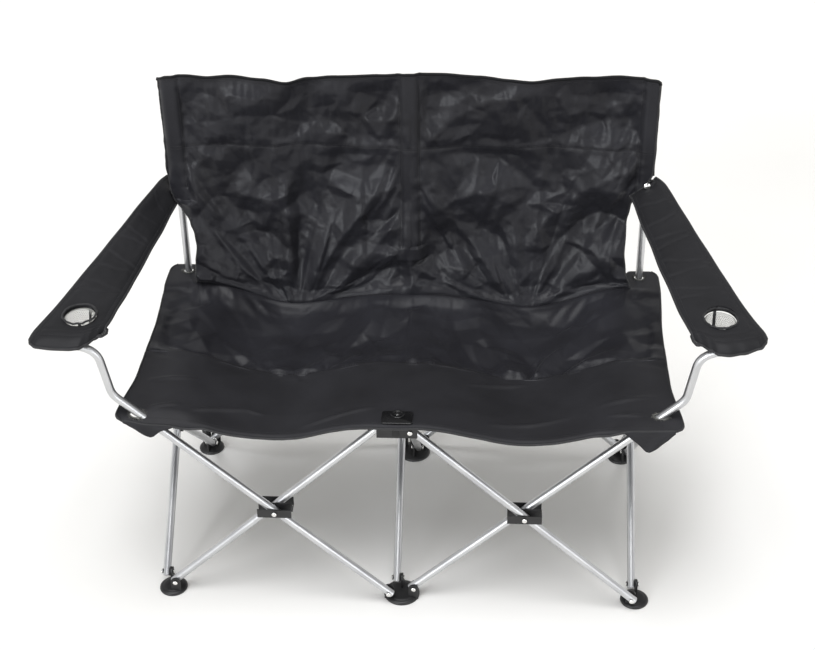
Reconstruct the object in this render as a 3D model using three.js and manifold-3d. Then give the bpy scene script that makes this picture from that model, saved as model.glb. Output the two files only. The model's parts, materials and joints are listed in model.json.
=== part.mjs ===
// Folding camping loveseat: crossed aluminium tubes between six feet, three back posts and a cloth cover.
// Millimetres, +Z up, the front faces -Y, and the floor is at z = 0.
import * as THREE from "three";
import { mergeVertices } from "three/addons/utils/BufferGeometryUtils.js";
import Module from "manifold-3d";

const wasm = await Module();
wasm.setup();

// Driving dimensions: tubes
const TUBE_D = 16;
const TUBE_WALL = 1.2;
const TUBE_SIDES = 12;
const TUBE_END = 9; // tube beyond its last pin
const PIN_D = 5.2;
const HEAD_D = 9.5;
const HEAD_H = 1.6;
const ROUND_SIDES = 8; // of pins and heads
const DISC_SIDES = 20; // of discs, sockets and cups

// Driving dimensions: clearances
const SEAT_GAP = 0.3; // between pieces that touch
const PIN_GAP = 0.4; // round a pin, on the radius
const SLIDE_GAP = 0.5; // between a collar and its post, on the radius
const LAYER_GAP = 0.5; // between a tube and the plate beside it

// Driving dimensions: the crosses, all alike so that they fold together
const SPAN = 446; // between the pins of a tube, level
const RISE = 417; // between the pins of a tube, upright
const PIN_Z = 29; // height of the pins in the feet
const CENTRE_PIN_X = 25; // pins of the centre feet, each side of the middle
const SIDE_PIN_IN = 33; // side pins, in from the plane of the front or rear cross
const SIDE_OUT = 13; // side cross, outside the outer pins
const WEB = 4; // plate between two crossing tubes
const PLATE = 3; // outer plates of the blocks
const FOLD_DEG = 43; // turn of every tube from open to folded

// Driving dimensions: feet
const FOOT_IN = 16; // disc centre, in from the plane of the cross
const FOOT_OUT = 9; // disc centre of an outer foot, outside its pin
const OUTER_FOOT_D = 56;
const CENTRE_FOOT_D = 72;
const FOOT_RIM = 3;
const FOOT_H = 7;
const LUG_W = 20; // width of a lug round its pin
const SOCKET_WALL = 2.2;
const SOCKET_H = 42;

// Driving dimensions: blocks, hub, brackets and collars
const BLOCK_W = 68;
const BLOCK_H = 19;
const HUB_W = 78;
const HUB_DROP = 13; // hub below the pins
const CAP_UP = 11.5; // underside of the hub's top plate above the pins
const BRACKET_UP = 16; // front corner brackets above the pins
const COLLAR_WALL = 3;
const COLLAR_H = 28;

// Driving dimensions: back posts and arm tubes
const POST_OUT = 22; // outer posts, outside the outer pins
const POST_TOP = 930;
const CAP_H = 5;
const CAP_PLUG = 12;
const ARM_RISE_X = 72; // first arm bend, outside the outer pin
const ARM_TOP_X = 89; // second arm bend, outside the outer pin
const ARM_TOP_UP = 166; // second arm bend, above the upper pins
const ARM_END_X = 154; // end of the arm tube, outside the outer pin
const ARM_END_UP = 186; // end of the arm tube, above the upper pins
const ARM_BEND_R = 42;
const BEND_STEPS = 5;

// Driving dimensions: cloth
const CLOTH = 3;
const SEAT_FRONT_OUT = 28; // front edge of the seat, ahead of the front plane
const SEAT_TIP_OUT = 69; // front corner of the seat, outside the outer pin
const SEAT_WAIST_OUT = 54; // side edge of the seat halfway back, outside the outer pin
const SEAT_CORNER_UP = 26; // seat at its corners, above the upper pins
const SEAT_CENTRE_UP = 18; // seat over the front hub, above the upper pins
const SEAT_REAR_UP = 6; // seat at the rear collar, above the upper pins
const SEAT_SAG = 36; // of the cloth between the posts
const SEAM_SHARE = 0.464; // the crosswise seam, as a share of the depth
const SEAM_GAP = 0.6;
const CREASE_IN = 46; // crease of seat and back, ahead of the rear plane
const TAB_BACK = 21; // rear corner tabs, behind the rear plane
const TAB_GAP = 1.5;
const FLAP_DROP = 62;
const FLAP_W = 88;
const BACK_OVER = 6; // corners of the back above the posts
const BACK_PEAK = 12; // the middle above the corners
const BACK_DIP = 10; // the top edge between the posts
const BACK_LIFT = 2.5; // lower edge of the back above the seat
const BACK_OUT = 14; // edge of the back, outside the outer post
const BACK_NECK_IN = 40; // edge of the back below the arm, inside the outer post
const NECK_TOP_Z = 760; // where the edge begins to draw in
const NECK_Z = 570;
const SLEEVE_LOW_Z = 690;
const SLEEVE_WALL = 2;
const CENTRE_SLEEVE_LOW_Z = 560;
const FOLD_DEPTH = 5; // of the main folds in the seat
const FAN_DEPTH = 16; // of the folds that fan up from the middle of each half of the back
const FAN_FOLDS = 12; // folds in a full turn
const FAN_DROP = 15; // point that they fan from, below the crease
const FAN_START = 120; // distance from that point to their full depth
const FAN_EDGE = 70; // strip beside a post in which they flatten out

// Driving dimensions: armrests and cup holders
const ARM_PAD = 9;
const ARM_CROWN = 2.5;
const ARM_FRONT_OUT = 28; // front edge, ahead of its tube
const ARM_REAR_IN = 12.3; // rear edge, ahead of the rear plane
const ARM_REAR_UP = 252; // middle of the pad at its rear edge, above the upper pins
const ARM_FRONT_INNER = 79; // edges, outside the outer pin
const ARM_FRONT_OUTER = 209;
const ARM_OVER = 9.7; // middle of the pad's front edge, above the end of the tube
const ARM_REAR_INNER = -8;
const ARM_REAR_OUTER = 70;
const ARM_NOSE = 44; // cut back of the inner front corner
const CUP_IN = 88; // middle of the cup opening, behind the front edge of the pad
const CUP_OUT = 132; // middle of the cup opening, outside the outer pin
const CUP_W = 60;
const CUP_L = 66;
const CUP_DEEP = 44;
const CUP_WALL = 1.6;
const CUP_LIP = 5;

// Driving dimensions: clamp plate of the seat
const CLAMP_W = 60;
const CLAMP_L = 40;
const CLAMP_H = 2;
const CLAMP_ROUND = 4;
const CLAMP_IN = 6; // front edge of the plate, behind the front edge of the seat

// Values that follow from the driving dimensions
const TUBE_R = TUBE_D / 2;
const PIN_R = PIN_D / 2;
const HEAD_R = HEAD_D / 2;
const LEAN = Math.atan2(SPAN, RISE);
const LENGTH = Math.hypot(SPAN, RISE);
const PIN_TOP = PIN_Z + RISE;
const SEAT_CORNER_Z = PIN_TOP + SEAT_CORNER_UP;
const SEAT_CENTRE_Z = PIN_TOP + SEAT_CENTRE_UP;
const SEAT_REAR_Z = PIN_TOP + SEAT_REAR_UP;
const ARM_TOP_Z = PIN_TOP + ARM_TOP_UP;
const ARM_END_Z = PIN_TOP + ARM_END_UP;
const ARM_REAR_Z = PIN_TOP + ARM_REAR_UP;
const BACK_TOP_Z = POST_TOP + BACK_OVER;
const MID_Z = PIN_Z + RISE / 2;
const OUTER_X = CENTRE_PIN_X + SPAN;
const MID_X = CENTRE_PIN_X + SPAN / 2;
const FRONT_Y = -(SPAN / 2 + SIDE_PIN_IN);
const REAR_Y = SPAN / 2 + SIDE_PIN_IN;
const LAYER = TUBE_R + WEB / 2 + LAYER_GAP;
const OUTSIDE = LAYER + TUBE_R + LAYER_GAP; // outer side of a tube, from the web's middle
const STATION_X = OUTER_X + SIDE_OUT;
const POST_X = OUTER_X + POST_OUT;
const FOOT_X = OUTER_X + FOOT_OUT;
const HOLE_R = PIN_R + PIN_GAP;
const ARM_REAR_Y = REAR_Y - ARM_REAR_IN;
const ARM_FRONT_Z = ARM_END_Z + ARM_OVER;
const SEAT_FRONT_Y = FRONT_Y - SEAT_FRONT_OUT;
const CREASE_Y = REAR_Y - CREASE_IN;
const SEAM_Y = SEAT_FRONT_Y + (CREASE_Y - SEAT_FRONT_Y) * SEAM_SHARE;
const POST_TIP = POST_TOP + CAP_H;
const TAB_Y = REAR_Y + TAB_BACK;
const HUB_SHARE = (SEAT_FRONT_OUT + SIDE_PIN_IN + LUG_W / 2) / (CREASE_Y - SEAT_FRONT_Y);

// Each armrest sits on its own tube, so the left one reaches further forward.
function armFrontY(side) {
  return FRONT_Y + side * LAYER - ARM_FRONT_OUT;
}

// The group stands with the middle of its box over the origin.
const part = new THREE.Group();
part.position.y = -(armFrontY(-1) + TAB_Y) / 2;

const COLOURS = {
  tube: { color: 0xc9cbcd, roughness: 0.32, metalness: 0.95 },
  plastic: { color: 0x1b1c1e, roughness: 0.5, metalness: 0 },
  rivet: { color: 0xd9d9d6, roughness: 0.25, metalness: 1 },
  cloth: { color: 0x232428, roughness: 0.72, metalness: 0 },
  net: { color: 0x3a3b3e, roughness: 0.8, metalness: 0 },
};

function place(name, look, geometry) {
  const mesh = new THREE.Mesh(geometry, new THREE.MeshStandardMaterial(COLOURS[look]));
  mesh.name = name;
  part.add(mesh);
  return mesh;
}

// Solids: three.js geometry in and out of the boolean library

function solid(geometry) {
  const bare = geometry.clone();
  bare.deleteAttribute("normal");
  bare.deleteAttribute("uv");
  const merged = mergeVertices(bare, 1e-4);
  return new wasm.Manifold(
    new wasm.Mesh({
      numProp: 3,
      vertProperties: new Float32Array(merged.attributes.position.array),
      triVerts: new Uint32Array(merged.index.array),
    }),
  );
}

function shape(manifold) {
  const mesh = manifold.getMesh();
  const geometry = new THREE.BufferGeometry();
  geometry.setAttribute("position", new THREE.BufferAttribute(mesh.vertProperties, 3));
  geometry.setIndex(new THREE.BufferAttribute(mesh.triVerts, 1));
  geometry.computeVertexNormals();
  return geometry;
}

function join(...pieces) {
  return pieces.reduce((whole, piece) => whole.add(piece));
}

function box(x0, x1, y0, y1, z0, z1) {
  const geometry = new THREE.BoxGeometry(x1 - x0, y1 - y0, z1 - z0);
  return solid(geometry.translate((x0 + x1) / 2, (y0 + y1) / 2, (z0 + z1) / 2));
}

// A rod along the axis "x", "y" or "z", from one coordinate to another, about the other two.
function rod(axis, from, to, centre, radius, sides = ROUND_SIDES) {
  const geometry = new THREE.CylinderGeometry(radius, radius, Math.abs(to - from), sides);
  const middle = (from + to) / 2;
  if (axis === "x") geometry.rotateZ(Math.PI / 2).translate(middle, centre[0], centre[1]);
  if (axis === "y") geometry.translate(centre[0], middle, centre[1]);
  if (axis === "z") geometry.rotateX(Math.PI / 2).translate(centre[0], centre[1], middle);
  return solid(geometry);
}

// A plate with a round top: half-width and height about a pin, square to "x" or "y".
function lug(axis, from, to, centre, half, bottom) {
  const outline = new THREE.Shape();
  outline.moveTo(-half, bottom - centre[1]);
  outline.lineTo(half, bottom - centre[1]);
  outline.absarc(0, 0, half, 0, Math.PI, false);
  const geometry = new THREE.ExtrudeGeometry(outline, {
    depth: to - from,
    bevelEnabled: false,
    curveSegments: ROUND_SIDES,
  });
  geometry.rotateX(Math.PI / 2).translate(0, to - from, 0);
  if (axis === "x") geometry.rotateZ(-Math.PI / 2).translate(from, centre[0], centre[1]);
  if (axis === "y") geometry.translate(centre[0], from, centre[1]);
  return solid(geometry);
}

// A riveted pin from the far side of a plate through the tube beside it, with a head at each end.
function pin(axis, plate, side, centre) {
  const back = plate - side * (WEB / 2);
  const front = plate + side * (OUTSIDE - LAYER_GAP + SEAT_GAP);
  const low = back - side * HEAD_H;
  const high = front + side * HEAD_H;
  return join(
    rod(axis, back, front, centre, PIN_R),
    rod(axis, low, back, centre, HEAD_R),
    rod(axis, front, high, centre, HEAD_R),
  );
}

// Tubes

function ringShape(outer, inner, sides) {
  const ring = new THREE.Shape();
  const hole = new THREE.Path();
  for (let i = 0; i < sides; i += 1) {
    const a = (2 * Math.PI * i) / sides;
    const p = [Math.cos(a), Math.sin(a)];
    if (i === 0) {
      ring.moveTo(outer * p[0], outer * p[1]);
      hole.moveTo(inner * p[0], inner * p[1]);
    } else {
      ring.lineTo(outer * p[0], outer * p[1]);
      hole.lineTo(inner * p[0], inner * p[1]);
    }
  }
  ring.holes.push(hole);
  return ring;
}

const TUBE_RING = ringShape(TUBE_R, TUBE_R - TUBE_WALL, TUBE_SIDES);

function pipe(length) {
  const geometry = new THREE.ExtrudeGeometry(TUBE_RING, { depth: length, bevelEnabled: false });
  return solid(geometry);
}

// An outline with a round end that trims a tube, seen along its pins.
function roundEnd(from, to, wide = TUBE_D) {
  const outline = new THREE.Shape();
  outline.moveTo(-wide, to);
  outline.lineTo(-wide, from + TUBE_R);
  outline.lineTo(-TUBE_R, from + TUBE_R);
  outline.absarc(0, from + TUBE_R, TUBE_R, Math.PI, 2 * Math.PI, false);
  outline.lineTo(wide, from + TUBE_R);
  outline.lineTo(wide, to);
  const geometry = new THREE.ExtrudeGeometry(outline, {
    depth: 2 * TUBE_D,
    bevelEnabled: false,
    curveSegments: ROUND_SIDES,
  });
  geometry.rotateX(Math.PI / 2).translate(0, TUBE_D, 0);
  return solid(geometry);
}

// A straight cross tube: its lower pin at the origin, its upper pin up the Z axis, its pins along Y.
function crossTube() {
  const reach = LENGTH + 2 * TUBE_END;
  let tube = pipe(reach).translate([0, 0, -TUBE_END]);
  tube = tube.intersect(roundEnd(-TUBE_END, LENGTH));
  const upper = roundEnd(-TUBE_END, LENGTH).rotate([180, 0, 0]).translate([0, 0, LENGTH]);
  tube = tube.intersect(upper);
  for (const z of [0, LENGTH / 2, LENGTH]) {
    tube = tube.subtract(rod("y", -TUBE_D, TUBE_D, [0, z], HOLE_R));
  }
  return shape(tube);
}

const CROSS_TUBE = crossTube();

// Front and rear cross tubes lean along X by the sign; side tubes lean along Y by the sign.
function placeCross(name, x, y, sign) {
  const mesh = place(name, "tube", CROSS_TUBE);
  mesh.position.set(x, y, PIN_Z);
  mesh.rotation.y = sign * LEAN;
}

function placeSide(name, x, y, sign) {
  const mesh = place(name, "tube", CROSS_TUBE);
  mesh.position.set(x, y, PIN_Z);
  mesh.rotation.set(-sign * LEAN, 0, Math.PI / 2);
}

// A path through chosen stations, one step of a sweep at each.
class StationPath extends THREE.Curve {
  constructor(stations) {
    super();
    this.stations = stations;
  }

  getPoint(t, target = new THREE.Vector3()) {
    const last = this.stations.length - 1;
    const at = Math.min(Math.max(t, 0), 1) * last;
    const i = Math.min(Math.floor(at), last - 1);
    return target.lerpVectors(this.stations[i], this.stations[i + 1], at - i);
  }

  getUtoTmapping(u) {
    return u;
  }
}

// Stations along a line with round corners, in the XZ plane.
function filleted(corners, radius) {
  const stations = [corners[0]];
  for (let i = 1; i < corners.length - 1; i += 1) {
    const into = corners[i].clone().sub(corners[i - 1]).normalize();
    const out = corners[i + 1].clone().sub(corners[i]).normalize();
    const turn = into.angleTo(out);
    const cut = radius * Math.tan(turn / 2);
    const start = corners[i].clone().addScaledVector(into, -cut);
    const end = corners[i].clone().addScaledVector(out, cut);
    for (let k = 0; k <= BEND_STEPS; k += 1) {
      const t = k / BEND_STEPS;
      const a = start.clone().lerp(corners[i], t);
      const b = corners[i].clone().lerp(end, t);
      stations.push(a.lerp(b, t));
    }
  }
  stations.push(corners[corners.length - 1]);
  return stations;
}

// The arm tube as a left-hand piece: lower pin at the origin, in its own plane, pins along Y.
const ARM_CORNERS = [
  new THREE.Vector3(TUBE_END * Math.sin(LEAN), 0, -TUBE_END * Math.cos(LEAN)),
  new THREE.Vector3(-SPAN - ARM_RISE_X, 0, RISE + ARM_RISE_X / Math.tan(LEAN)),
  new THREE.Vector3(-SPAN - ARM_TOP_X, 0, ARM_TOP_Z - PIN_Z),
  new THREE.Vector3(-SPAN - ARM_END_X, 0, ARM_END_Z - PIN_Z),
];

function armTube() {
  const stations = filleted(ARM_CORNERS, ARM_BEND_R);
  const geometry = new THREE.ExtrudeGeometry(TUBE_RING, {
    steps: stations.length - 1,
    extrudePath: new StationPath(stations),
    bevelEnabled: false,
  });
  let tube = solid(geometry);
  const trim = roundEnd(-TUBE_END, 2 * LENGTH, LENGTH);
  tube = tube.intersect(trim.rotate([0, (-LEAN * 180) / Math.PI, 0]));
  for (const share of [0, 0.5, 1]) {
    const centre = [-SPAN * share, RISE * share];
    tube = tube.subtract(rod("y", -TUBE_D, TUBE_D, centre, HOLE_R));
  }
  return tube;
}

// A plug in the end of the arm tube, in the same place as the tube.
function armPlug() {
  const end = ARM_CORNERS[3];
  const along = end.clone().sub(ARM_CORNERS[2]).normalize();
  const plugR = TUBE_R - TUBE_WALL - SEAT_GAP;
  const head = new THREE.CylinderGeometry(TUBE_R, TUBE_R, CAP_H, TUBE_SIDES);
  head.translate(0, SEAT_GAP + CAP_H / 2, 0);
  const stem = new THREE.CylinderGeometry(plugR, plugR, CAP_PLUG, TUBE_SIDES);
  stem.translate(0, SEAT_GAP - CAP_PLUG / 2 + CAP_H / 2, 0);
  const up = new THREE.Vector3(0, 1, 0);
  const turn = new THREE.Matrix4().makeRotationFromQuaternion(
    new THREE.Quaternion().setFromUnitVectors(up, along),
  );
  const at = new THREE.Matrix4().makeTranslation(end.x, end.y, end.z);
  const seat = at.multiply(turn);
  return join(solid(head.applyMatrix4(seat)), solid(stem.applyMatrix4(seat)));
}

function placeArm(side, name, manifold, look, y) {
  const piece = side < 0 ? manifold : manifold.mirror([1, 0, 0]);
  const mesh = place(name, look, shape(piece));
  mesh.position.set(side * CENTRE_PIN_X, y, PIN_Z);
}

// Feet: a disc with a lug for each tube, and a socket for a back post

function disc(x, y, diameter) {
  const r = diameter / 2;
  const profile = [
    new THREE.Vector2(0, 0),
    new THREE.Vector2(r, 0),
    new THREE.Vector2(r, FOOT_RIM),
    new THREE.Vector2(r - FOOT_H, FOOT_H),
    new THREE.Vector2(0, FOOT_H),
  ];
  const geometry = new THREE.LatheGeometry(profile, DISC_SIDES);
  return solid(geometry.rotateX(Math.PI / 2).translate(x, y, 0));
}

// plane: y of the cross; inward: +1 in front, -1 behind; pins: [x, side of the plate]; side: [x, side]; post: x.
function foot(name, { x, plane, inward, diameter, pins, side, post }) {
  let body = disc(x, plane + inward * FOOT_IN, diameter);
  for (const [px, way] of pins) {
    const plate = [plane - WEB / 2, plane + WEB / 2];
    body = body.add(lug("y", plate[0], plate[1], [px, PIN_Z], LUG_W / 2, FOOT_RIM));
    body = body.add(pin("y", plane, way, [px, PIN_Z]));
  }
  const sideY = plane + inward * SIDE_PIN_IN;
  const [sx, way] = side;
  body = body.add(lug("x", sx - WEB / 2, sx + WEB / 2, [sideY, PIN_Z], LUG_W / 2, FOOT_RIM));
  body = body.add(pin("x", sx, way, [sideY, PIN_Z]));
  if (post !== undefined) {
    const bore = TUBE_R + SEAT_GAP;
    body = body.add(rod("z", FOOT_RIM, SOCKET_H, [post, plane], bore + SOCKET_WALL, DISC_SIDES));
    body = body.subtract(rod("z", FOOT_H, SOCKET_H + 1, [post, plane], bore, TUBE_SIDES));
  }
  place(name, "plastic", shape(body));
}

// Blocks where the front and rear tubes cross: a box cut away along the sweep of each tube.

// The sweep of a tube turning from its open lean to its folded lean, as a slab across one layer.
function sweepCut(sign, from, to) {
  const half = TUBE_R + LAYER_GAP;
  const folded = LEAN - (FOLD_DEG * Math.PI) / 180;
  const reach = BLOCK_W;
  const along = (a) => [Math.sin(a), Math.cos(a)];
  const outline = [];
  for (const turn of [0, Math.PI]) {
    for (const [a, edge] of [[LEAN, 1], [folded, -1]]) {
      const [s, c] = along(a + turn);
      outline.push(new THREE.Vector2(s * reach + edge * c * half, c * reach - edge * s * half));
    }
  }
  const points = outline.map((p) => new THREE.Vector2(sign * p.x, p.y));
  const geometry = new THREE.ExtrudeGeometry(new THREE.Shape(points), {
    depth: to - from,
    bevelEnabled: false,
  });
  return solid(geometry.rotateX(Math.PI / 2).translate(0, to, 0));
}

function block(name, x, y, frontSign) {
  const w = BLOCK_W / 2;
  const h = BLOCK_H / 2;
  const d = OUTSIDE + PLATE;
  let body = box(-w, w, -d, d, -h, h);
  body = body.subtract(sweepCut(frontSign, -OUTSIDE, -WEB / 2));
  body = body.subtract(sweepCut(-frontSign, WEB / 2, OUTSIDE));
  body = body.subtract(rod("y", -2 * d, 2 * d, [0, 0], HOLE_R));
  const mesh = place(name, "plastic", shape(body));
  mesh.position.set(x, y, MID_Z);
}

// A rivet between two faces, with a head outside each.
function rivet(name, axis, half, at) {
  const reach = half + SEAT_GAP;
  const body = join(
    rod(axis, -reach, reach, [0, 0], PIN_R),
    rod(axis, -reach - HEAD_H, -reach, [0, 0], HEAD_R),
    rod(axis, reach, reach + HEAD_H, [0, 0], HEAD_R),
  );
  const mesh = place(name, "rivet", shape(body));
  mesh.position.set(...at);
}

function spacer(name, x) {
  const half = LAYER - TUBE_R - SEAT_GAP;
  const ring = rod("x", -half, half, [0, 0], TUBE_R, TUBE_SIDES);
  const mesh = place(name, "plastic", shape(ring.subtract(rod("x", -half - 1, half + 1, [0, 0], HOLE_R))));
  mesh.position.set(x, 0, MID_Z);
}

// Hub, corner brackets and collars that carry the cloth

function frontHub() {
  const w = HUB_W / 2;
  const d = OUTSIDE + PLATE;
  const top = PIN_TOP + CAP_UP;
  const low = PIN_TOP - HUB_DROP;
  let body = box(-w, w, FRONT_Y - d, FRONT_Y + d, top, top + PLATE);
  body = body.add(box(-w, w, FRONT_Y - d, FRONT_Y - OUTSIDE, low, top + PLATE));
  body = body.add(box(-w, w, FRONT_Y + OUTSIDE, FRONT_Y + d, low, top + PLATE));
  body = body.add(box(-w, w, FRONT_Y - WEB / 2, FRONT_Y + WEB / 2, low, top + PLATE));
  for (const [x, side] of [[-CENTRE_PIN_X, 1], [CENTRE_PIN_X, -1]]) {
    const reach = FRONT_Y + side * OUTSIDE;
    body = body.add(rod("y", FRONT_Y, reach, [x, PIN_TOP], PIN_R));
    const face = FRONT_Y + side * d;
    body = body.add(rod("y", face, face + side * HEAD_H, [x, PIN_TOP], HEAD_R));
  }
  const sideY = FRONT_Y + SIDE_PIN_IN;
  const plate = WEB / 2;
  body = body.add(lug("x", -plate, plate, [sideY, PIN_TOP], LUG_W / 2, low));
  body = body.add(box(-plate, plate, FRONT_Y, sideY, low, PIN_TOP + TUBE_R));
  body = body.add(pin("x", 0, 1, [sideY, PIN_TOP]));
  body = body.subtract(rod("z", PIN_TOP, top + PLATE + 1, [0, SCREW_Y], HOLE_R));
  place("front_hub", "plastic", shape(body));
}

// A bracket under a front seat corner, pinned to the arm tube and to the side tube.
function cornerBracket(name, side, armWay, sideWay) {
  const low = PIN_TOP - HUB_DROP;
  const top = PIN_TOP + BRACKET_UP;
  const x = side * OUTER_X;
  const half = LUG_W / 2;
  let body = box(x - half, x + half, FRONT_Y - WEB / 2, FRONT_Y + WEB / 2, low, top);
  body = body.add(pin("y", FRONT_Y, armWay, [x, PIN_TOP]));
  const sx = side * STATION_X;
  const sideY = FRONT_Y + SIDE_PIN_IN;
  const reach = [Math.min(x, sx - WEB / 2), Math.max(x, sx + WEB / 2)];
  const shelf = PIN_TOP - HUB_DROP / 2;
  body = body.add(box(reach[0], reach[1], FRONT_Y - WEB / 2, FRONT_Y + WEB / 2, low, shelf));
  body = body.add(box(sx - WEB / 2, sx + WEB / 2, FRONT_Y - WEB / 2, sideY + half, low, shelf));
  body = body.add(lug("x", sx - WEB / 2, sx + WEB / 2, [sideY, PIN_TOP], half, low));
  body = body.add(pin("x", sx, sideWay, [sideY, PIN_TOP]));
  place(name, "plastic", shape(body));
}

// A collar that slides on a back post, pinned to the rear tubes and to a side tube.
function collar(name, { post, pins, side }) {
  const outer = TUBE_R + SLIDE_GAP + COLLAR_WALL;
  const low = PIN_TOP - COLLAR_H / 2;
  const high = PIN_TOP + COLLAR_H / 2;
  const sideY = REAR_Y - SIDE_PIN_IN;
  const [sx, way] = side;
  let body = rod("z", low, high, [post, REAR_Y], outer, DISC_SIDES);
  for (const [px, pinWay] of pins) {
    const reach = px + Math.sign(px - post) * (LUG_W / 2);
    const ends = [Math.min(post, reach), Math.max(post, reach)];
    body = body.add(box(ends[0], ends[1], REAR_Y - WEB / 2, REAR_Y + WEB / 2, low, high));
    body = body.add(pin("y", REAR_Y, pinWay, [px, PIN_TOP]));
  }
  const rear = REAR_Y - TUBE_R;
  body = body.add(box(sx - WEB / 2, sx + WEB / 2, sideY, rear, low, PIN_TOP + LUG_W / 2));
  body = body.add(lug("x", sx - WEB / 2, sx + WEB / 2, [sideY, PIN_TOP], LUG_W / 2, low));
  body = body.add(pin("x", sx, way, [sideY, PIN_TOP]));
  body = body.subtract(rod("z", low - 1, high + 1, [post, REAR_Y], TUBE_R + SLIDE_GAP, TUBE_SIDES));
  place(name, "plastic", shape(body));
}

// Back posts and their caps

function backPost(name, x) {
  const foot = FOOT_H + SEAT_GAP;
  const mesh = place(name, "tube", shape(pipe(POST_TOP - foot)));
  mesh.position.set(x, REAR_Y, foot);
}

function postCap(name, x) {
  const stem = TUBE_R - TUBE_WALL - SEAT_GAP;
  const low = POST_TOP + SEAT_GAP;
  const body = join(
    rod("z", low, POST_TIP, [x, REAR_Y], TUBE_R, TUBE_SIDES),
    rod("z", low - CAP_PLUG, low + 1, [x, REAR_Y], stem, TUBE_SIDES),
  );
  place(name, "plastic", shape(body));
}

// Cloth: a closed sheet over a grid, with its two faces half a thickness from the middle along one axis.
function sheet(columns, rows, thickness, axis, point) {
  const count = (columns + 1) * (rows + 1);
  const positions = new Float32Array(2 * count * 3);
  const at = (i, j, face) => face * count + j * (columns + 1) + i;
  for (let j = 0; j <= rows; j += 1) {
    for (let i = 0; i <= columns; i += 1) {
      const p = point(i / columns, j / rows);
      [-1, 1].forEach((way, face) => {
        const q = [...p];
        q[axis] += (way * (p[3] ?? thickness)) / 2;
        positions.set(q.slice(0, 3), at(i, j, face) * 3);
      });
    }
  }
  const index = [];
  const quad = (a, b, c, d) => index.push(a, b, c, a, c, d);
  for (let j = 0; j < rows; j += 1) {
    for (let i = 0; i < columns; i += 1) {
      quad(at(i, j, 1), at(i + 1, j, 1), at(i + 1, j + 1, 1), at(i, j + 1, 1));
      quad(at(i, j, 0), at(i, j + 1, 0), at(i + 1, j + 1, 0), at(i + 1, j, 0));
    }
  }
  for (let i = 0; i < columns; i += 1) {
    quad(at(i, 0, 0), at(i + 1, 0, 0), at(i + 1, 0, 1), at(i, 0, 1));
    quad(at(i + 1, rows, 0), at(i, rows, 0), at(i, rows, 1), at(i + 1, rows, 1));
  }
  for (let j = 0; j < rows; j += 1) {
    quad(at(0, j + 1, 0), at(0, j, 0), at(0, j, 1), at(0, j + 1, 1));
    quad(at(columns, j, 0), at(columns, j + 1, 0), at(columns, j + 1, 1), at(columns, j, 1));
  }
  const geometry = new THREE.BufferGeometry();
  geometry.setAttribute("position", new THREE.BufferAttribute(positions, 3));
  geometry.setIndex(index);
  const made = solid(geometry);
  return made.volume() < 0 ? solid(flip(geometry)) : made;
}

function flip(geometry) {
  const index = geometry.index.array;
  for (let i = 0; i < index.length; i += 3) {
    [index[i + 1], index[i + 2]] = [index[i + 2], index[i + 1]];
  }
  return geometry;
}

const mix = (a, b, t) => a + (b - a) * t;
const smooth = (t) => t * t * (3 - 2 * t);
const clamp01 = (t) => Math.min(Math.max(t, 0), 1);

// How far the cloth hangs between the hub and an outer post: 0 at both and 1 halfway.
function hang(x) {
  const share = clamp01((Math.abs(x) - HUB_W / 2) / (OUTER_X - HUB_W / 2));
  return Math.sin(Math.PI * share) ** 2;
}

// Height of the seat's middle surface at x, and v from 0 at the front edge to 1 at the crease.
function seatZ(x, v) {
  const out = smooth(clamp01(Math.abs(x) / OUTER_X));
  const front = mix(SEAT_CENTRE_Z, SEAT_CORNER_Z, out);
  const rear = mix(SEAT_REAR_Z, SEAT_CORNER_Z, out);
  const held = mix(front, rear, v);
  const slack = Math.sin(Math.PI * clamp01((v - HUB_SHARE) / (1 - HUB_SHARE)));
  const sag = SEAT_SAG * hang(x) * (1 + 0.35 * slack);
  const folds = FOLD_DEPTH * Math.sin((Math.abs(x) / OUTER_X) * 9 + v * 5) * hang(x) * v;
  return held - sag - 6 * slack * (1 - out) + folds;
}

// Side edge of the seat, from the front corner in to the waist and out to the rear tab.
function seatEdge(v) {
  const near = smooth(clamp01(v / 0.3));
  return OUTER_X + mix(SEAT_TIP_OUT, SEAT_WAIST_OUT, near);
}

const SCREW_Y = FRONT_Y + TUBE_R;
const SEAT_COLUMNS = 24;
const SEAT_ROWS = 5;

function armTunnel(side, y) {
  const length = 2 * LENGTH;
  const bore = new THREE.CylinderGeometry(TUBE_R + TAB_GAP, TUBE_R + TAB_GAP, length, TUBE_SIDES);
  bore.rotateX(Math.PI / 2).translate(0, 0, length / 2).rotateY(side * LEAN);
  return solid(bore.translate(side * CENTRE_PIN_X, y, PIN_Z));
}

function seatFront() {
  const rear = SEAM_Y - SEAM_GAP / 2;
  const share = (rear - SEAT_FRONT_Y) / (CREASE_Y - SEAT_FRONT_Y);
  let cloth = sheet(SEAT_COLUMNS, SEAT_ROWS, CLOTH, 2, (s, t) => {
    const v = t * share;
    const x = (2 * s - 1) * seatEdge(v);
    return [x, mix(SEAT_FRONT_Y, rear, t), seatZ(x, v)];
  });
  for (const side of [-1, 1]) {
    cloth = cloth.add(cornerFlap(side));
  }
  cloth = cloth.subtract(armTunnel(-1, FRONT_Y - LAYER)).subtract(armTunnel(1, FRONT_Y + LAYER));
  cloth = cloth.subtract(rod("z", PIN_TOP, SEAT_CORNER_Z + CLOTH, [0, SCREW_Y], HOLE_R));
  place("seat_front", "cloth", shape(cloth));
}

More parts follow.
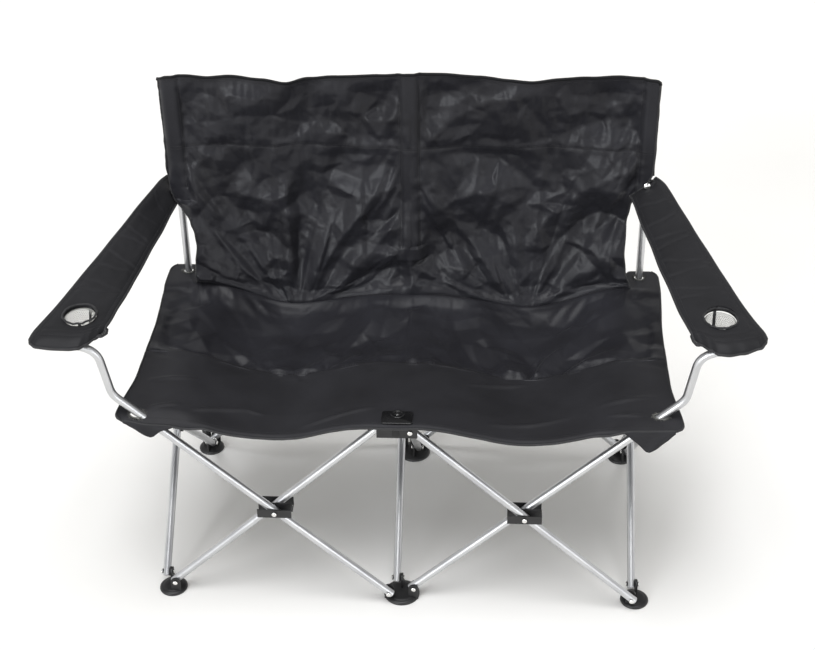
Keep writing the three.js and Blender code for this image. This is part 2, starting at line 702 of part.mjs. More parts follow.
// The corner of the seat turns down in front as a pointed flap.
function cornerFlap(side) {
  const tip = seatEdge(0);
  return sheet(4, 3, CLOTH, 1, (s, t) => {
    const x = tip - s * FLAP_W;
    const drop = FLAP_DROP * (1 - Math.abs(2 * s - 1) ** 1.5);
    const top = seatZ(x, 0);
    const lean = side > 0 ? s : 1 - s;
    const across = side > 0 ? x : -(tip - (1 - s) * FLAP_W);
    const height = side > 0 ? top : seatZ(across, 0);
    return [across, SEAT_FRONT_Y + CLOTH / 2 - 3 * t * lean, height - t * (drop + CLOTH / 2)];
  });
}

function seatRear() {
  const front = SEAM_Y + SEAM_GAP / 2;
  const share = (front - SEAT_FRONT_Y) / (CREASE_Y - SEAT_FRONT_Y);
  let cloth = sheet(SEAT_COLUMNS, SEAT_ROWS, CLOTH, 2, (s, t) => {
    const v = mix(share, 1, t);
    const x = (2 * s - 1) * seatEdge(v);
    const outside = smooth(clamp01((Math.abs(x) - OUTER_X + SIDE_OUT) / SIDE_OUT));
    const y = mix(front, mix(CREASE_Y, TAB_Y, outside), t);
    return [x, y, seatZ(x, v)];
  });
  for (const side of [-1, 1]) {
    const reach = [PIN_TOP, SEAT_CORNER_Z + 2 * CLOTH];
    cloth = cloth.subtract(rod("z", ...reach, [side * POST_X, REAR_Y], TUBE_R + TAB_GAP, TUBE_SIDES));
  }
  place("seat_rear", "cloth", shape(cloth));
}

const CLAMP_LOW = SEAT_CENTRE_Z + CLOTH / 2 + SEAT_GAP;

// The plate that clamps the seat to the hub, under its screw
function seatClamp() {
  const x = CLAMP_W / 2 - CLAMP_ROUND;
  const y = CLAMP_L / 2 - CLAMP_ROUND;
  const outline = new THREE.Shape();
  outline.absarc(x, y, CLAMP_ROUND, 0, Math.PI / 2);
  outline.absarc(-x, y, CLAMP_ROUND, Math.PI / 2, Math.PI);
  outline.absarc(-x, -y, CLAMP_ROUND, Math.PI, 1.5 * Math.PI);
  outline.absarc(x, -y, CLAMP_ROUND, 1.5 * Math.PI, 2 * Math.PI);
  const plate = new THREE.ExtrudeGeometry(outline, { depth: CLAMP_H, bevelEnabled: false, curveSegments: 3 });
  plate.translate(0, SEAT_FRONT_Y + CLAMP_IN + CLAMP_L / 2, CLAMP_LOW);
  const hole = rod("z", CLAMP_LOW - 1, CLAMP_LOW + CLAMP_H + 1, [0, SCREW_Y], HOLE_R);
  place("seat_clamp", "plastic", shape(solid(plate).subtract(hole)));
}

function seatScrew() {
  const top = CLAMP_LOW + CLAMP_H + SEAT_GAP;
  const body = join(
    rod("z", top, top + HEAD_H, [0, SCREW_Y], HEAD_R),
    rod("z", PIN_TOP + CAP_UP - 1, top + 1, [0, SCREW_Y], PIN_R),
  );
  place("seat_screw", "rivet", shape(body));
}

// Edge of the back at a height: along the sleeve above the arm, and drawn in below it.
function backEdge(z) {
  const neck = smooth(clamp01((NECK_TOP_Z - z) / (NECK_TOP_Z - NECK_Z)));
  return POST_X + mix(BACK_OUT, -BACK_NECK_IN, neck);
}

function backTop(x) {
  const share = clamp01(Math.abs(x) / POST_X);
  return BACK_TOP_Z + BACK_PEAK * (1 - share) - BACK_DIP * Math.sin(Math.PI * share) ** 2;
}

// Folds of the back: each half is drawn up from the middle of its crease in a fan.
function fan(x, z) {
  const middle = (Math.sign(x) * POST_X) / 2;
  const rise = z - (seatZ(middle, 1) - FAN_DROP);
  const away = Math.hypot(x - middle, rise);
  const beside = Math.min(Math.abs(x), Math.abs(Math.abs(x) - POST_X));
  const share = smooth(clamp01(away / FAN_START)) * smooth(clamp01(beside / FAN_EDGE));
  return (FAN_DEPTH / 2) * share * (1 + Math.sin(FAN_FOLDS * Math.atan2(x - middle, rise)));
}

const BACK_COLUMNS = 36;
const BACK_ROWS = 14;

function back() {
  const sleeveR = TUBE_R + SEAT_GAP + SLEEVE_WALL;
  const high = REAR_Y - TUBE_R - SEAT_GAP - CLOTH / 2;
  const low = CREASE_Y + CLOTH / 2 + SEAT_GAP;
  let cloth = sheet(BACK_COLUMNS, BACK_ROWS, CLOTH, 1, (s, t) => {
    const side = 2 * s - 1;
    const guess = mix(SEAT_REAR_Z, BACK_TOP_Z, t);
    const x = side * backEdge(guess);
    const foot = seatZ(x, 1) + CLOTH / 2 + BACK_LIFT;
    const z = mix(foot, backTop(x), t);
    const drawn = smooth(clamp01((SLEEVE_LOW_Z - z) / (SLEEVE_LOW_Z - SEAT_REAR_Z)));
    const bow = 9 * hang(x) * Math.sin(Math.PI * t);
    const loose = Math.sin(Math.PI * clamp01(0.12 + 0.8 * t));
    return [x, mix(high, low, drawn) + bow + fan(x, z) * loose, z];
  });
  const sleeves = [
    [-POST_X, SLEEVE_LOW_Z],
    [0, CENTRE_SLEEVE_LOW_Z],
    [POST_X, SLEEVE_LOW_Z],
  ];
  for (const [x, foot] of sleeves) {
    cloth = cloth.add(rod("z", foot, backTop(x), [x, REAR_Y], sleeveR, TUBE_SIDES));
  }
  for (const [x, foot] of sleeves) {
    const bore = TUBE_R + SEAT_GAP;
    cloth = cloth.subtract(rod("z", foot - 1, POST_TIP + SEAT_GAP, [x, REAR_Y], bore, TUBE_SIDES));
  }
  place("back", "cloth", shape(cloth));
}

// Armrests: flat pads that slope down to the front, with an oval opening for a cup

function armSpot(side, s, t) {
  const inner = OUTER_X + mix(ARM_FRONT_INNER, ARM_REAR_INNER, t ** 0.8);
  const outer = OUTER_X + mix(ARM_FRONT_OUTER, ARM_REAR_OUTER, t ** 0.9);
  const nose = ARM_NOSE * (1 - s) ** 2.5 * (1 - t) ** 6;
  const x = mix(inner, outer, s);
  const y = mix(armFrontY(side), ARM_REAR_Y, t) + nose;
  return [side * x, y, mix(ARM_FRONT_Z, ARM_REAR_Z, t)];
}

function cupZ(side) {
  return mix(ARM_FRONT_Z, ARM_REAR_Z, CUP_IN / (ARM_REAR_Y - armFrontY(side)));
}

function armrest(name, side) {
  let pad = sheet(6, 10, ARM_PAD, 2, (s, t) => {
    const u = side < 0 ? 1 - s : s;
    const crown = ARM_CROWN * 2 * Math.sin(Math.PI * u) * Math.sin(Math.PI * clamp01(t * 1.02));
    const thin = 0.62 * ARM_PAD + crown;
    return [...armSpot(side, u, t), thin];
  });
  const hole = new THREE.CylinderGeometry(CUP_W / 2, CUP_W / 2, 4 * ARM_PAD, DISC_SIDES);
  hole.rotateX(Math.PI / 2).scale(1, CUP_L / CUP_W, 1);
  hole.translate(side * (OUTER_X + CUP_OUT), armFrontY(side) + CUP_IN, cupZ(side));
  pad = pad.subtract(solid(hole));
  place(name, "cloth", shape(pad));
}

// A net cup: a thin oval bowl in the opening, its lip just inside the edge of the pad.
function cupHolder(name, side) {
  const r = CUP_W / 2 - SEAT_GAP;
  const foot = r * 0.72;
  const profile = [
    new THREE.Vector2(0, -CUP_DEEP),
    new THREE.Vector2(foot, -CUP_DEEP),
    new THREE.Vector2(r, -CUP_LIP),
    new THREE.Vector2(r, 0),
    new THREE.Vector2(r - CUP_WALL, 0),
    new THREE.Vector2(r - CUP_WALL, -CUP_LIP),
    new THREE.Vector2(foot - CUP_WALL, CUP_WALL - CUP_DEEP),
    new THREE.Vector2(0, CUP_WALL - CUP_DEEP),
  ];
  const bowl = new THREE.LatheGeometry(profile, DISC_SIDES);
  bowl.rotateX(Math.PI / 2).scale(1, CUP_L / CUP_W, 1);
  const mesh = place(name, "net", shape(solid(bowl)));
  mesh.position.set(side * (OUTER_X + CUP_OUT), armFrontY(side) + CUP_IN, cupZ(side) + ARM_PAD / 2);
}

// Assembly: feet

const front = { plane: FRONT_Y, inward: 1 };
const rear = { plane: REAR_Y, inward: -1 };
const outerFoot = { diameter: OUTER_FOOT_D };
const centreFoot = { x: 0, diameter: CENTRE_FOOT_D };
foot("foot_front_left", {
  ...front, ...outerFoot, x: -FOOT_X, pins: [[-OUTER_X, 1]], side: [-STATION_X, -1],
});
foot("foot_front_centre", {
  ...front, ...centreFoot, pins: [[-CENTRE_PIN_X, -1], [CENTRE_PIN_X, 1]], side: [0, -1],
});
foot("foot_front_right", {
  ...front, ...outerFoot, x: FOOT_X, pins: [[OUTER_X, -1]], side: [STATION_X, -1],
});
foot("foot_rear_left", {
  ...rear, ...outerFoot, x: -FOOT_X, pins: [[-OUTER_X, -1]], side: [-STATION_X, 1], post: -POST_X,
});
foot("foot_rear_centre", {
  ...rear, ...centreFoot, pins: [[-CENTRE_PIN_X, 1], [CENTRE_PIN_X, 1]], side: [0, 1], post: 0,
});
foot("foot_rear_right", {
  ...rear, ...outerFoot, x: FOOT_X, pins: [[OUTER_X, -1]], side: [STATION_X, 1], post: POST_X,
});

// Assembly: front tubes, with the same lean in front in both bays
const arm = armTube();
const plug = armPlug();
placeArm(-1, "arm_tube_left", arm, "tube", FRONT_Y - LAYER);
placeArm(1, "arm_tube_right", arm, "tube", FRONT_Y + LAYER);
placeArm(-1, "arm_plug_left", plug, "plastic", FRONT_Y - LAYER);
placeArm(1, "arm_plug_right", plug, "plastic", FRONT_Y + LAYER);
placeCross("front_tube_left", -OUTER_X, FRONT_Y + LAYER, 1);
placeCross("front_tube_right", OUTER_X, FRONT_Y - LAYER, -1);

// Assembly: rear tubes, alike on both sides
placeCross("rear_outer_tube_left", -CENTRE_PIN_X, REAR_Y + LAYER, -1);
placeCross("rear_outer_tube_right", CENTRE_PIN_X, REAR_Y + LAYER, 1);
placeCross("rear_inner_tube_left", -OUTER_X, REAR_Y - LAYER, 1);
placeCross("rear_inner_tube_right", OUTER_X, REAR_Y - LAYER, -1);

// Assembly: side tubes, spacers and rivets
const stations = [["left", -STATION_X], ["centre", 0], ["right", STATION_X]];
for (const [where, x] of stations) {
  placeSide(`side_front_tube_${where}`, x - LAYER, FRONT_Y + SIDE_PIN_IN, 1);
  placeSide(`side_rear_tube_${where}`, x + LAYER, REAR_Y - SIDE_PIN_IN, -1);
  spacer(`side_spacer_${where}`, x);
  rivet(`side_rivet_${where}`, "x", LAYER + TUBE_R, [x, 0, MID_Z]);
}

// Assembly: crossing blocks and their rivets
const crossings = [
  ["front_left", -MID_X, FRONT_Y, -1],
  ["front_right", MID_X, FRONT_Y, -1],
  ["rear_left", -MID_X, REAR_Y, 1],
  ["rear_right", MID_X, REAR_Y, -1],
];
for (const [where, x, y, frontSign] of crossings) {
  block(`cross_block_${where}`, x, y, frontSign);
  rivet(`cross_rivet_${where}`, "y", OUTSIDE + PLATE, [x, y, MID_Z]);
}

// Assembly: hub, brackets, collars and posts
frontHub();
cornerBracket("corner_bracket_left", -1, -1, 1);
cornerBracket("corner_bracket_right", 1, 1, 1);
collar("collar_left", { post: -POST_X, pins: [[-OUTER_X, 1]], side: [-STATION_X, -1] });
collar("collar_centre", {
  post: 0, pins: [[-CENTRE_PIN_X, -1], [CENTRE_PIN_X, -1]], side: [0, -1],
});
collar("collar_right", { post: POST_X, pins: [[OUTER_X, 1]], side: [STATION_X, -1] });
for (const [where, x] of [["left", -POST_X], ["centre", 0], ["right", POST_X]]) {
  backPost(`back_post_${where}`, x);
  postCap(`post_cap_${where}`, x);
}

// Assembly: cloth
seatFront();
seatRear();
seatClamp();
seatScrew();
back();
for (const [where, side] of [["left", -1], ["right", 1]]) {
  armrest(`armrest_${where}`, side);
  cupHolder(`cup_holder_${where}`, side);
}

export default part;
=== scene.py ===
"""Folding camping loveseat: cloth, trim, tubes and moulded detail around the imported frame. Metres."""
import json
import math
import random

import bmesh
import bpy
from mathutils import Matrix, Vector, noise
from mathutils.bvhtree import BVHTree
from mathutils.geometry import delaunay_2d_cdt


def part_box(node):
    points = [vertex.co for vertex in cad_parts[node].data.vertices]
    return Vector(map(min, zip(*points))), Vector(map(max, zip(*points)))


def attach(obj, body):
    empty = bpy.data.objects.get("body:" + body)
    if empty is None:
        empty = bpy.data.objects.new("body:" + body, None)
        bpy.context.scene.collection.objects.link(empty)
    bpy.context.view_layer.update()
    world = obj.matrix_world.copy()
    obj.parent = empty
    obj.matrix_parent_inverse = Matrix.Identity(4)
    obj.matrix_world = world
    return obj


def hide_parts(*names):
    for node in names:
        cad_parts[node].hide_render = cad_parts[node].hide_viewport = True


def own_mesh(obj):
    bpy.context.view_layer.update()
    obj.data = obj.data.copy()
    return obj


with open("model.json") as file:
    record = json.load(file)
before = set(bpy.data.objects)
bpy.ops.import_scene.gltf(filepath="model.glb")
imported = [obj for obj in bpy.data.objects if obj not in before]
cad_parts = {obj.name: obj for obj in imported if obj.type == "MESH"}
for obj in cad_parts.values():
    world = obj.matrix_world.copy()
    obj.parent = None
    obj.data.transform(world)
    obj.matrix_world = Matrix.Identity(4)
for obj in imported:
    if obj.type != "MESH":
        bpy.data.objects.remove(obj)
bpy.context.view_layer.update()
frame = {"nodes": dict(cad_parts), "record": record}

# Frame dimensions, as in the part's source
SHIFT_Y = 0.00875
SPAN, RISE, PIN_Z = 0.446, 0.417, 0.029
CENTRE_PIN_X, SIDE_PIN_IN, SIDE_OUT = 0.025, 0.033, 0.013
TUBE_R, LAYER, TUBE_END = 0.008, 0.0105, 0.009
OUTER_X = CENTRE_PIN_X + SPAN
MID_X = CENTRE_PIN_X + SPAN / 2
PIN_TOP = PIN_Z + RISE
MID_Z = PIN_Z + RISE / 2
FRONT_Y = SHIFT_Y - SPAN / 2 - SIDE_PIN_IN
REAR_Y = SHIFT_Y + SPAN / 2 + SIDE_PIN_IN
STATION_X = OUTER_X + SIDE_OUT
POST_X = OUTER_X + 0.022
POST_LOW, POST_TOP = 0.0073, 0.930
LEAN = math.atan2(SPAN, RISE)
LENGTH = math.hypot(SPAN, RISE)
OUTSIDE = LAYER + TUBE_R + 0.0005
PLATE = 0.003

# Cloth dimensions, as in the part's source
CLOTH = 0.003
SEAT_FRONT_OUT = 0.028
SEAT_FRONT_Y = FRONT_Y - SEAT_FRONT_OUT
SEAT_TIP_OUT, SEAT_WAIST_OUT = 0.069, 0.054
SEAT_CORNER_Z, SEAT_CENTRE_Z, SEAT_REAR_Z = 0.472, 0.464, 0.452
SEAT_SAG = 0.036
CREASE_Y = REAR_Y - 0.046
SEAT_DEPTH = CREASE_Y - SEAT_FRONT_Y
SEAM_SHARE = 0.464
SEAM_Y = SEAT_FRONT_Y + SEAT_DEPTH * SEAM_SHARE
TAB_Y = REAR_Y + 0.021
HUB_W = 0.078
HUB_SHARE = (SEAT_FRONT_OUT + SIDE_PIN_IN + 0.01) / SEAT_DEPTH
SEAT_FOLD = 0.005
SLEEVE_LOW_Z, CENTRE_SLEEVE_LOW_Z = 0.690, 0.560
FAN_DEPTH, FAN_FOLDS, FAN_DROP, FAN_START, FAN_EDGE = 0.016, 12, 0.015, 0.120, 0.070

# Armrest dimensions, as in the part's source
ARM_FRONT_OUT, ARM_REAR_Y = 0.028, REAR_Y - 0.0123
ARM_FRONT_Z, ARM_REAR_Z = 0.6417, 0.698
ARM_FRONT_INNER, ARM_FRONT_OUTER = 0.079, 0.209
CUP_IN, CUP_OUT, CUP_W, CUP_L, CUP_DEEP = 0.088, 0.132, 0.060, 0.066, 0.044

# How far the soft pieces gather when the frame folds
SIDE_KEEP = 0.17
BACK_KEEP = 0.18
ARM_KEEP = 0.42
ARM_WAY = {"left": (-0.2486, -0.9633, -0.1017), "right": (0.2584, -0.9602, -0.1057)}

# The two sides, and which way x runs on each
SIDES = (("left", -1), ("right", 1))


def mix(a, b, t):
    return a + (b - a) * t


def clamp01(t):
    return min(max(t, 0.0), 1.0)


def smooth(t):
    return t * t * (3 - 2 * t)


def bell(away, wide):
    """1 at no distance, falling off softly to nothing over a few widths."""
    return math.exp(-((away / wide) ** 2))


# Camera, as fitted to the photo: its turns in degrees, its place, and its focal length in the photo's pixels
CAMERA_TURNS = (-3.866, 32.757, -1.044)
CAMERA_PLACE = (0.1788, -2.5645 + SHIFT_Y, 2.1647)
FOCAL_PIXELS, PHOTO_WIDTH, SENSOR = 1503, 815, 36.0


def add_camera():
    yaw, pitch, roll = (math.radians(a) for a in CAMERA_TURNS)
    forward = Vector((math.sin(yaw) * math.cos(pitch), math.cos(yaw) * math.cos(pitch), -math.sin(pitch)))
    right = Vector((math.cos(yaw), -math.sin(yaw), 0))
    up = right.cross(forward)
    rolled_right = math.cos(roll) * right + math.sin(roll) * up
    rolled_up = -math.sin(roll) * right + math.cos(roll) * up
    data = bpy.data.cameras.new("camera")
    data.sensor_fit = "HORIZONTAL"
    data.sensor_width = SENSOR
    data.lens = SENSOR * FOCAL_PIXELS / PHOTO_WIDTH
    camera = bpy.data.objects.new("camera", data)
    bpy.context.collection.objects.link(camera)
    turn = Matrix((rolled_right, rolled_up, -forward)).transposed().to_4x4()
    camera.matrix_world = Matrix.Translation(CAMERA_PLACE) @ turn
    bpy.context.scene.camera = camera


# Materials


class Nodes:
    """A small helper that adds nodes to one material and links them."""

    def __init__(self, name):
        self.material = bpy.data.materials.new(name)
        self.material.use_nodes = True
        self.tree = self.material.node_tree
        self.shader = self.tree.nodes["Principled BSDF"]
        self.coords = self.tree.nodes.new("ShaderNodeTexCoord").outputs["Object"]

    def set(self, **values):
        for key, value in values.items():
            self.shader.inputs[key.replace("_", " ")].default_value = value

    def link(self, a, b):
        self.tree.links.new(a, b)

    def add(self, kind, **values):
        node = self.tree.nodes.new(kind)
        for key, value in values.items():
            if key in node.inputs:
                node.inputs[key].default_value = value
            else:
                setattr(node, key, value)
        return node

    def noise(self, scale, detail=4.0, stretch=None):
        node = self.add("ShaderNodeTexNoise", Scale=scale, Detail=detail)
        self.link(self.place(stretch), node.inputs["Vector"])
        return node.outputs["Fac"]

    def wave(self, scale, direction, distortion=0.0):
        node = self.add("ShaderNodeTexWave", Scale=scale, Distortion=distortion)
        node.bands_direction = direction
        self.link(self.coords, node.inputs["Vector"])
        return node.outputs["Fac"]

    def place(self, stretch):
        if stretch is None:
            return self.coords
        node = self.add("ShaderNodeMapping")
        node.inputs["Scale"].default_value = stretch
        self.link(self.coords, node.inputs["Vector"])
        return node.outputs["Vector"]

    def ramp(self, fac, low, high, at=(0.0, 1.0)):
        node = self.add("ShaderNodeValToRGB")
        ends = node.color_ramp.elements
        for end, colour, place in ((ends[0], low, at[0]), (ends[1], high, at[1])):
            end.color = (*colour, 1) if len(colour) == 3 else colour
            end.position = place
        self.link(fac, node.inputs["Fac"])
        return node.outputs["Color"]

    def span(self, fac, low, high):
        node = self.add("ShaderNodeMapRange")
        node.inputs["To Min"].default_value = low
        node.inputs["To Max"].default_value = high
        self.link(fac, node.inputs["Value"])
        return node.outputs["Result"]

    def maths(self, kind, a, b):
        node = self.add("ShaderNodeMath", operation=kind)
        for socket, value in zip(node.inputs, (a, b)):
            if isinstance(value, (int, float)):
                socket.default_value = value
            else:
                self.link(value, socket)
        return node.outputs["Value"]

    def bump(self, height, strength, distance, after=None):
        node = self.add("ShaderNodeBump", Strength=strength, Distance=distance)
        self.link(height, node.inputs["Height"])
        if after is not None:
            self.link(after, node.inputs["Normal"])
        return node.outputs["Normal"]

    def done(self, colour=None, roughness=None, normal=None):
        for socket, value in (("Base Color", colour), ("Roughness", roughness), ("Normal", normal)):
            if value is not None:
                self.link(value, self.shader.inputs[socket])
        return self.material


def wave_scale(period):
    """Scale of a wave texture whose bands repeat at this period, in metres."""
    return 2 * math.pi / (20 * period)


def nylon(name, across, low, high, rough, weave=0.0011):
    n = Nodes(name)
    n.set(Sheen_Weight=0.03, Sheen_Roughness=0.4, Specular_IOR_Level=0.22)
    weft = n.wave(wave_scale(weave), "X", 0.3)
    warp = n.wave(wave_scale(weave), across, 0.3)
    cloth = n.maths("MULTIPLY", weft, warp)
    slub = n.noise(420, 2)
    dust = n.noise(9, 5)
    colour = n.ramp(n.maths("ADD", dust, n.maths("MULTIPLY", cloth, 0.15)), low, high, (0.35, 0.85))
    roughness = n.span(n.noise(30, 4), rough - 0.06, rough + 0.08)
    normal = n.bump(cloth, 0.22, 0.0003)
    normal = n.bump(slub, 0.08, 0.0004, normal)
    return n.done(colour, roughness, normal)


def aluminium():
    n = Nodes("satin_aluminium")
    n.set(Metallic=1.0, Anisotropic=0.25)
    grain = n.noise(700, 3, (1, 1, 0.06))
    stain = n.noise(14, 5)
    colour = n.ramp(stain, (0.50, 0.505, 0.52), (0.66, 0.665, 0.67), (0.3, 0.75))
    both = n.maths("ADD", n.maths("MULTIPLY", grain, 0.5), n.maths("MULTIPLY", stain, 0.5))
    return n.done(colour, n.span(both, 0.27, 0.44), n.bump(grain, 0.06, 0.0002))


def plastic(name, low, high, rough):
    n = Nodes(name)
    grain = n.noise(1500, 2)
    wear = n.noise(45, 6)
    colour = n.ramp(wear, low, high, (0.35, 0.9))
    roughness = n.span(wear, rough - 0.08, rough + 0.12)
    return n.done(colour, roughness, n.bump(grain, 0.12, 0.0003))


def zinc(name, low, high):
    n = Nodes(name)
    n.set(Metallic=1.0)
    scratch = n.noise(900, 3, (1, 0.15, 1))
    colour = n.ramp(n.noise(120, 3), low, high, (0.3, 0.8))
    return n.done(colour, n.span(scratch, 0.16, 0.34), n.bump(scratch, 0.08, 0.0002))


def thread(name, colour):
    n = Nodes(name)
    twist = n.wave(wave_scale(0.0009), "DIAGONAL")
    low = tuple(0.6 * c for c in colour)
    shade = n.ramp(twist, low, colour)
    return n.done(shade, n.span(twist, 0.5, 0.7), n.bump(twist, 0.3, 0.0003))


def ribbed_tape():
    n = Nodes("binding_tape")
    n.set(Sheen_Weight=0.1)
    rib = n.wave(wave_scale(0.0013), "DIAGONAL")
    colour = n.ramp(n.noise(60, 4), (0.008, 0.008, 0.009), (0.020, 0.020, 0.023), (0.3, 0.8))
    return n.done(colour, n.span(rib, 0.55, 0.75), n.bump(rib, 0.3, 0.0004))


def make_materials():
    dark, light = (0.0140, 0.0138, 0.0168), (0.0250, 0.0252, 0.0305)
    flat_dark, flat_light = (0.0140, 0.0138, 0.0160), (0.0245, 0.0245, 0.0285)
    return {
        "back": nylon("crumpled_nylon_upright", "Z", dark, light, 0.34),
        "seat": nylon("crumpled_nylon_level", "Y", dark, light, 0.38),
        "flat": nylon("woven_nylon_flat", "Y", flat_dark, flat_light, 0.56, 0.0014),
        "arm": nylon("woven_nylon_arm", "Y", (0.0115, 0.0115, 0.0132), (0.020, 0.020, 0.0228), 0.56, 0.0012),
        "tape": ribbed_tape(),
        "thread": thread("black_thread", (0.022, 0.022, 0.025)),
        "fray": thread("pale_thread", (0.15, 0.15, 0.14)),
        "net": thread("net_yarn", (0.60, 0.60, 0.57)),
        "hem": nylon("rolled_hem", "Z", (0.006, 0.006, 0.007), (0.013, 0.013, 0.015), 0.60),
        "tube": aluminium(),
        "plastic": plastic("moulded_plastic", (0.0075, 0.0075, 0.008), (0.020, 0.020, 0.021), 0.42),
        "gloss": plastic("smooth_plastic", (0.006, 0.006, 0.0065), (0.013, 0.013, 0.014), 0.22),
        # A near-black plastic for the sheet that stands for the hub's slot: painted shade.
        "dark": plastic("recess_plastic", (0.002, 0.002, 0.002), (0.005, 0.005, 0.005), 0.6),
        "rivet": zinc("zinc_rivet", (0.72, 0.72, 0.70), (0.88, 0.87, 0.85)),
        # The screw head's metal colour is painted dark for the shade in its recess: painted shade.
        "screw": zinc("blackened_screw", (0.05, 0.05, 0.05), (0.11, 0.11, 0.11)),
    }


# Mesh tools


def new_object(name, verts, faces, material, smooth_faces=True):
    mesh = bpy.data.meshes.new(name)
    mesh.from_pydata([tuple(v) for v in verts], [], faces)
    mesh.validate()
    mesh.materials.append(material)
    mesh.polygons.foreach_set("use_smooth", [smooth_faces] * len(mesh.polygons))
    obj = bpy.data.objects.new(name, mesh)
    bpy.context.collection.objects.link(obj)
    return obj


def face_out(obj):
    bm = bmesh.new()
    bm.from_mesh(obj.data)
    bmesh.ops.recalc_face_normals(bm, faces=bm.faces)
    bm.to_mesh(obj.data)
    bm.free()
    return obj


def keep_sharp(obj, degrees=35):
    obj.data.set_sharp_from_angle(angle=math.radians(degrees))
    return obj


def bake(obj):
    """Puts the result of the modifiers into the mesh."""
    depsgraph = bpy.context.evaluated_depsgraph_get()
    mesh = bpy.data.meshes.new_from_object(obj.evaluated_get(depsgraph))
    obj.modifiers.clear()
    obj.data = mesh
    return obj


def frames_along(points, closed=False):
    """(point, side, up) at each point of a path, with little twist."""
    count = len(points)
    axes = (Vector((1, 0, 0)), Vector((0, 1, 0)), Vector((0, 0, 1)))
    result = []
    side = None
    for i, p in enumerate(points):
        before = points[i - 1] if i or closed else p
        after = points[(i + 1) % count] if i < count - 1 or closed else p
        way = (after - before).normalized()
        if side is None:
            side = way.cross(min(axes, key=lambda a: abs(a.dot(way)))).normalized()
        side = (side - way * side.dot(way)).normalized()
        result.append((p, side, way.cross(side)))
    return result


def circle(count):
    """Angles of equal steps round a full circle."""
    return [2 * math.pi * k / count for k in range(count)]


def ring_faces(rings, sides, closed=False):
    """Quads between rings of points; an open run also gets a face over each end."""
    faces = []
    for i in range(rings if closed else rings - 1):
        j = (i + 1) % rings
        for k in range(sides):
            m = (k + 1) % sides
            faces.append((i * sides + k, i * sides + m, j * sides + m, j * sides + k))
    if not closed:
        faces.append(tuple(reversed(range(sides))))
        faces.append(tuple((rings - 1) * sides + k for k in range(sides)))
    return faces


def joined(name, meshes, material):
    """One object from several (vertices, faces)."""
    verts, faces = [], []
    for mesh_verts, mesh_faces in meshes:
        start = len(verts)
        verts += mesh_verts
        faces += [[start + k for k in face] for face in mesh_faces]
    return new_object(name, verts, faces, material)


def sweep_mesh(points, wide, thick, sides=8, closed=False):
    """Vertices and faces of an oval sweep along points, with closed ends."""
    verts = []
    for p, side, up in frames_along(points, closed):
        verts += [p + side * (wide * math.cos(a)) + up * (thick * math.sin(a)) for a in circle(sides)]
    return verts, ring_faces(len(points), sides, closed)


def sweep(name, points, size, material, sides=8, closed=False):
    return face_out(joined(name, [sweep_mesh([Vector(p) for p in points], *size, sides, closed)], material))


def lathe_mesh(profile, origin, axis, sides):
    """A turned form: its profile is (radius, height) from one end of the axis to the other."""
    turn = Vector((0, 0, 1)).rotation_difference(Vector(axis).normalized())
    verts = []
    for r, h in profile:
        ring = [Vector((r * math.cos(a), r * math.sin(a), h)) for a in circle(sides)]
        verts += [Vector(origin) + turn @ p for p in ring]
    return verts, ring_faces(len(profile), sides)


def lathe(name, profile, origin, axis, sides, material):
    return face_out(joined(name, [lathe_mesh(profile, origin, axis, sides)], material))


def grid(name, columns, rows, point, material):
    """A sheet over a grid; point(s, t) gives its places."""
    verts = [Vector(point(i / columns, j / rows)) for j in range(rows + 1) for i in range(columns + 1)]
    at = lambda i, j: j * (columns + 1) + i
    faces = [
        (at(i, j), at(i + 1, j), at(i + 1, j + 1), at(i, j + 1)) for j in range(rows) for i in range(columns)
    ]
    return new_object(name, verts, faces, material)


def simulate(obj, hold, frames, slack, cap, gravity=1.0):
    """Cloth that is cut larger than its frame by slack and wrinkles; hold(v) is 1 where it is sewn down."""
    start = [v.co.copy() for v in obj.data.vertices]
    group = obj.vertex_groups.new(name="hold")
    for v in obj.data.vertices:
        weight = hold(v.co)
        if weight > 0:
            group.add([v.index], weight, "REPLACE")
    cloth = obj.modifiers.new("cloth", "CLOTH")
    settings = cloth.settings
    settings.quality = 5
    settings.mass = 0.12
    settings.tension_stiffness = settings.compression_stiffness = 25
    settings.shear_stiffness = 6
    settings.bending_stiffness = 0.06
    settings.shrink_min = -slack
    settings.vertex_group_mass = "hold"
    settings.effector_weights.gravity = gravity
    cloth.collision_settings.use_collision = False
    scene = bpy.context.scene
    cloth.point_cache.frame_start, cloth.point_cache.frame_end = 1, frames
    for f in range(1, frames + 1):
        scene.frame_set(f)
    bake(obj)
    scene.frame_set(1)
    for v, rest in zip(obj.data.vertices, start):
        move = v.co - rest
        if move.length > cap:
            v.co = rest + move * (cap / move.length)
    return obj


def refine(obj, levels=1):
    sub = obj.modifiers.new("fine", "SUBSURF")
    sub.levels = sub.render_levels = levels
    return bake(obj)


class Facets:
    """Crumpled heights from -1 to 1: random points joined into flat triangles, a little softened."""

    def __init__(self, seed, pitch, low, high, soft=0.08):
        draw = random.Random(seed)
        points, heights = [], []
        columns, rows = (int((b - a) / pitch) + 4 for a, b in zip(low, high))
        for j in range(rows):
            for i in range(columns):
                u = low[0] + (i - 1.5 + 0.5 * (j % 2) + draw.uniform(-0.42, 0.42)) * pitch
                v = low[1] + (j - 1.5 + draw.uniform(-0.42, 0.42)) * pitch
                points.append(Vector((u, v)))
                heights.append(draw.uniform(-1, 1))
        verts, _, faces, origin, _, _ = delaunay_2d_cdt(points, [], [], 0, 1e-9)
        self.tree = BVHTree.FromPolygons([(p.x, p.y, heights[o[0]]) for p, o in zip(verts, origin)], faces)
        r = pitch * soft
        self.taps = ((0, 0), (r, 0), (-r, 0), (0, r), (0, -r))

    def at(self, u, v):
        total = 0.0
        for a, b in self.taps:
            hit = self.tree.ray_cast(Vector((u + a, v + b, 9)), Vector((0, 0, -1)))
            total += hit[0].z if hit[0] else 0.0
        return total / len(self.taps)


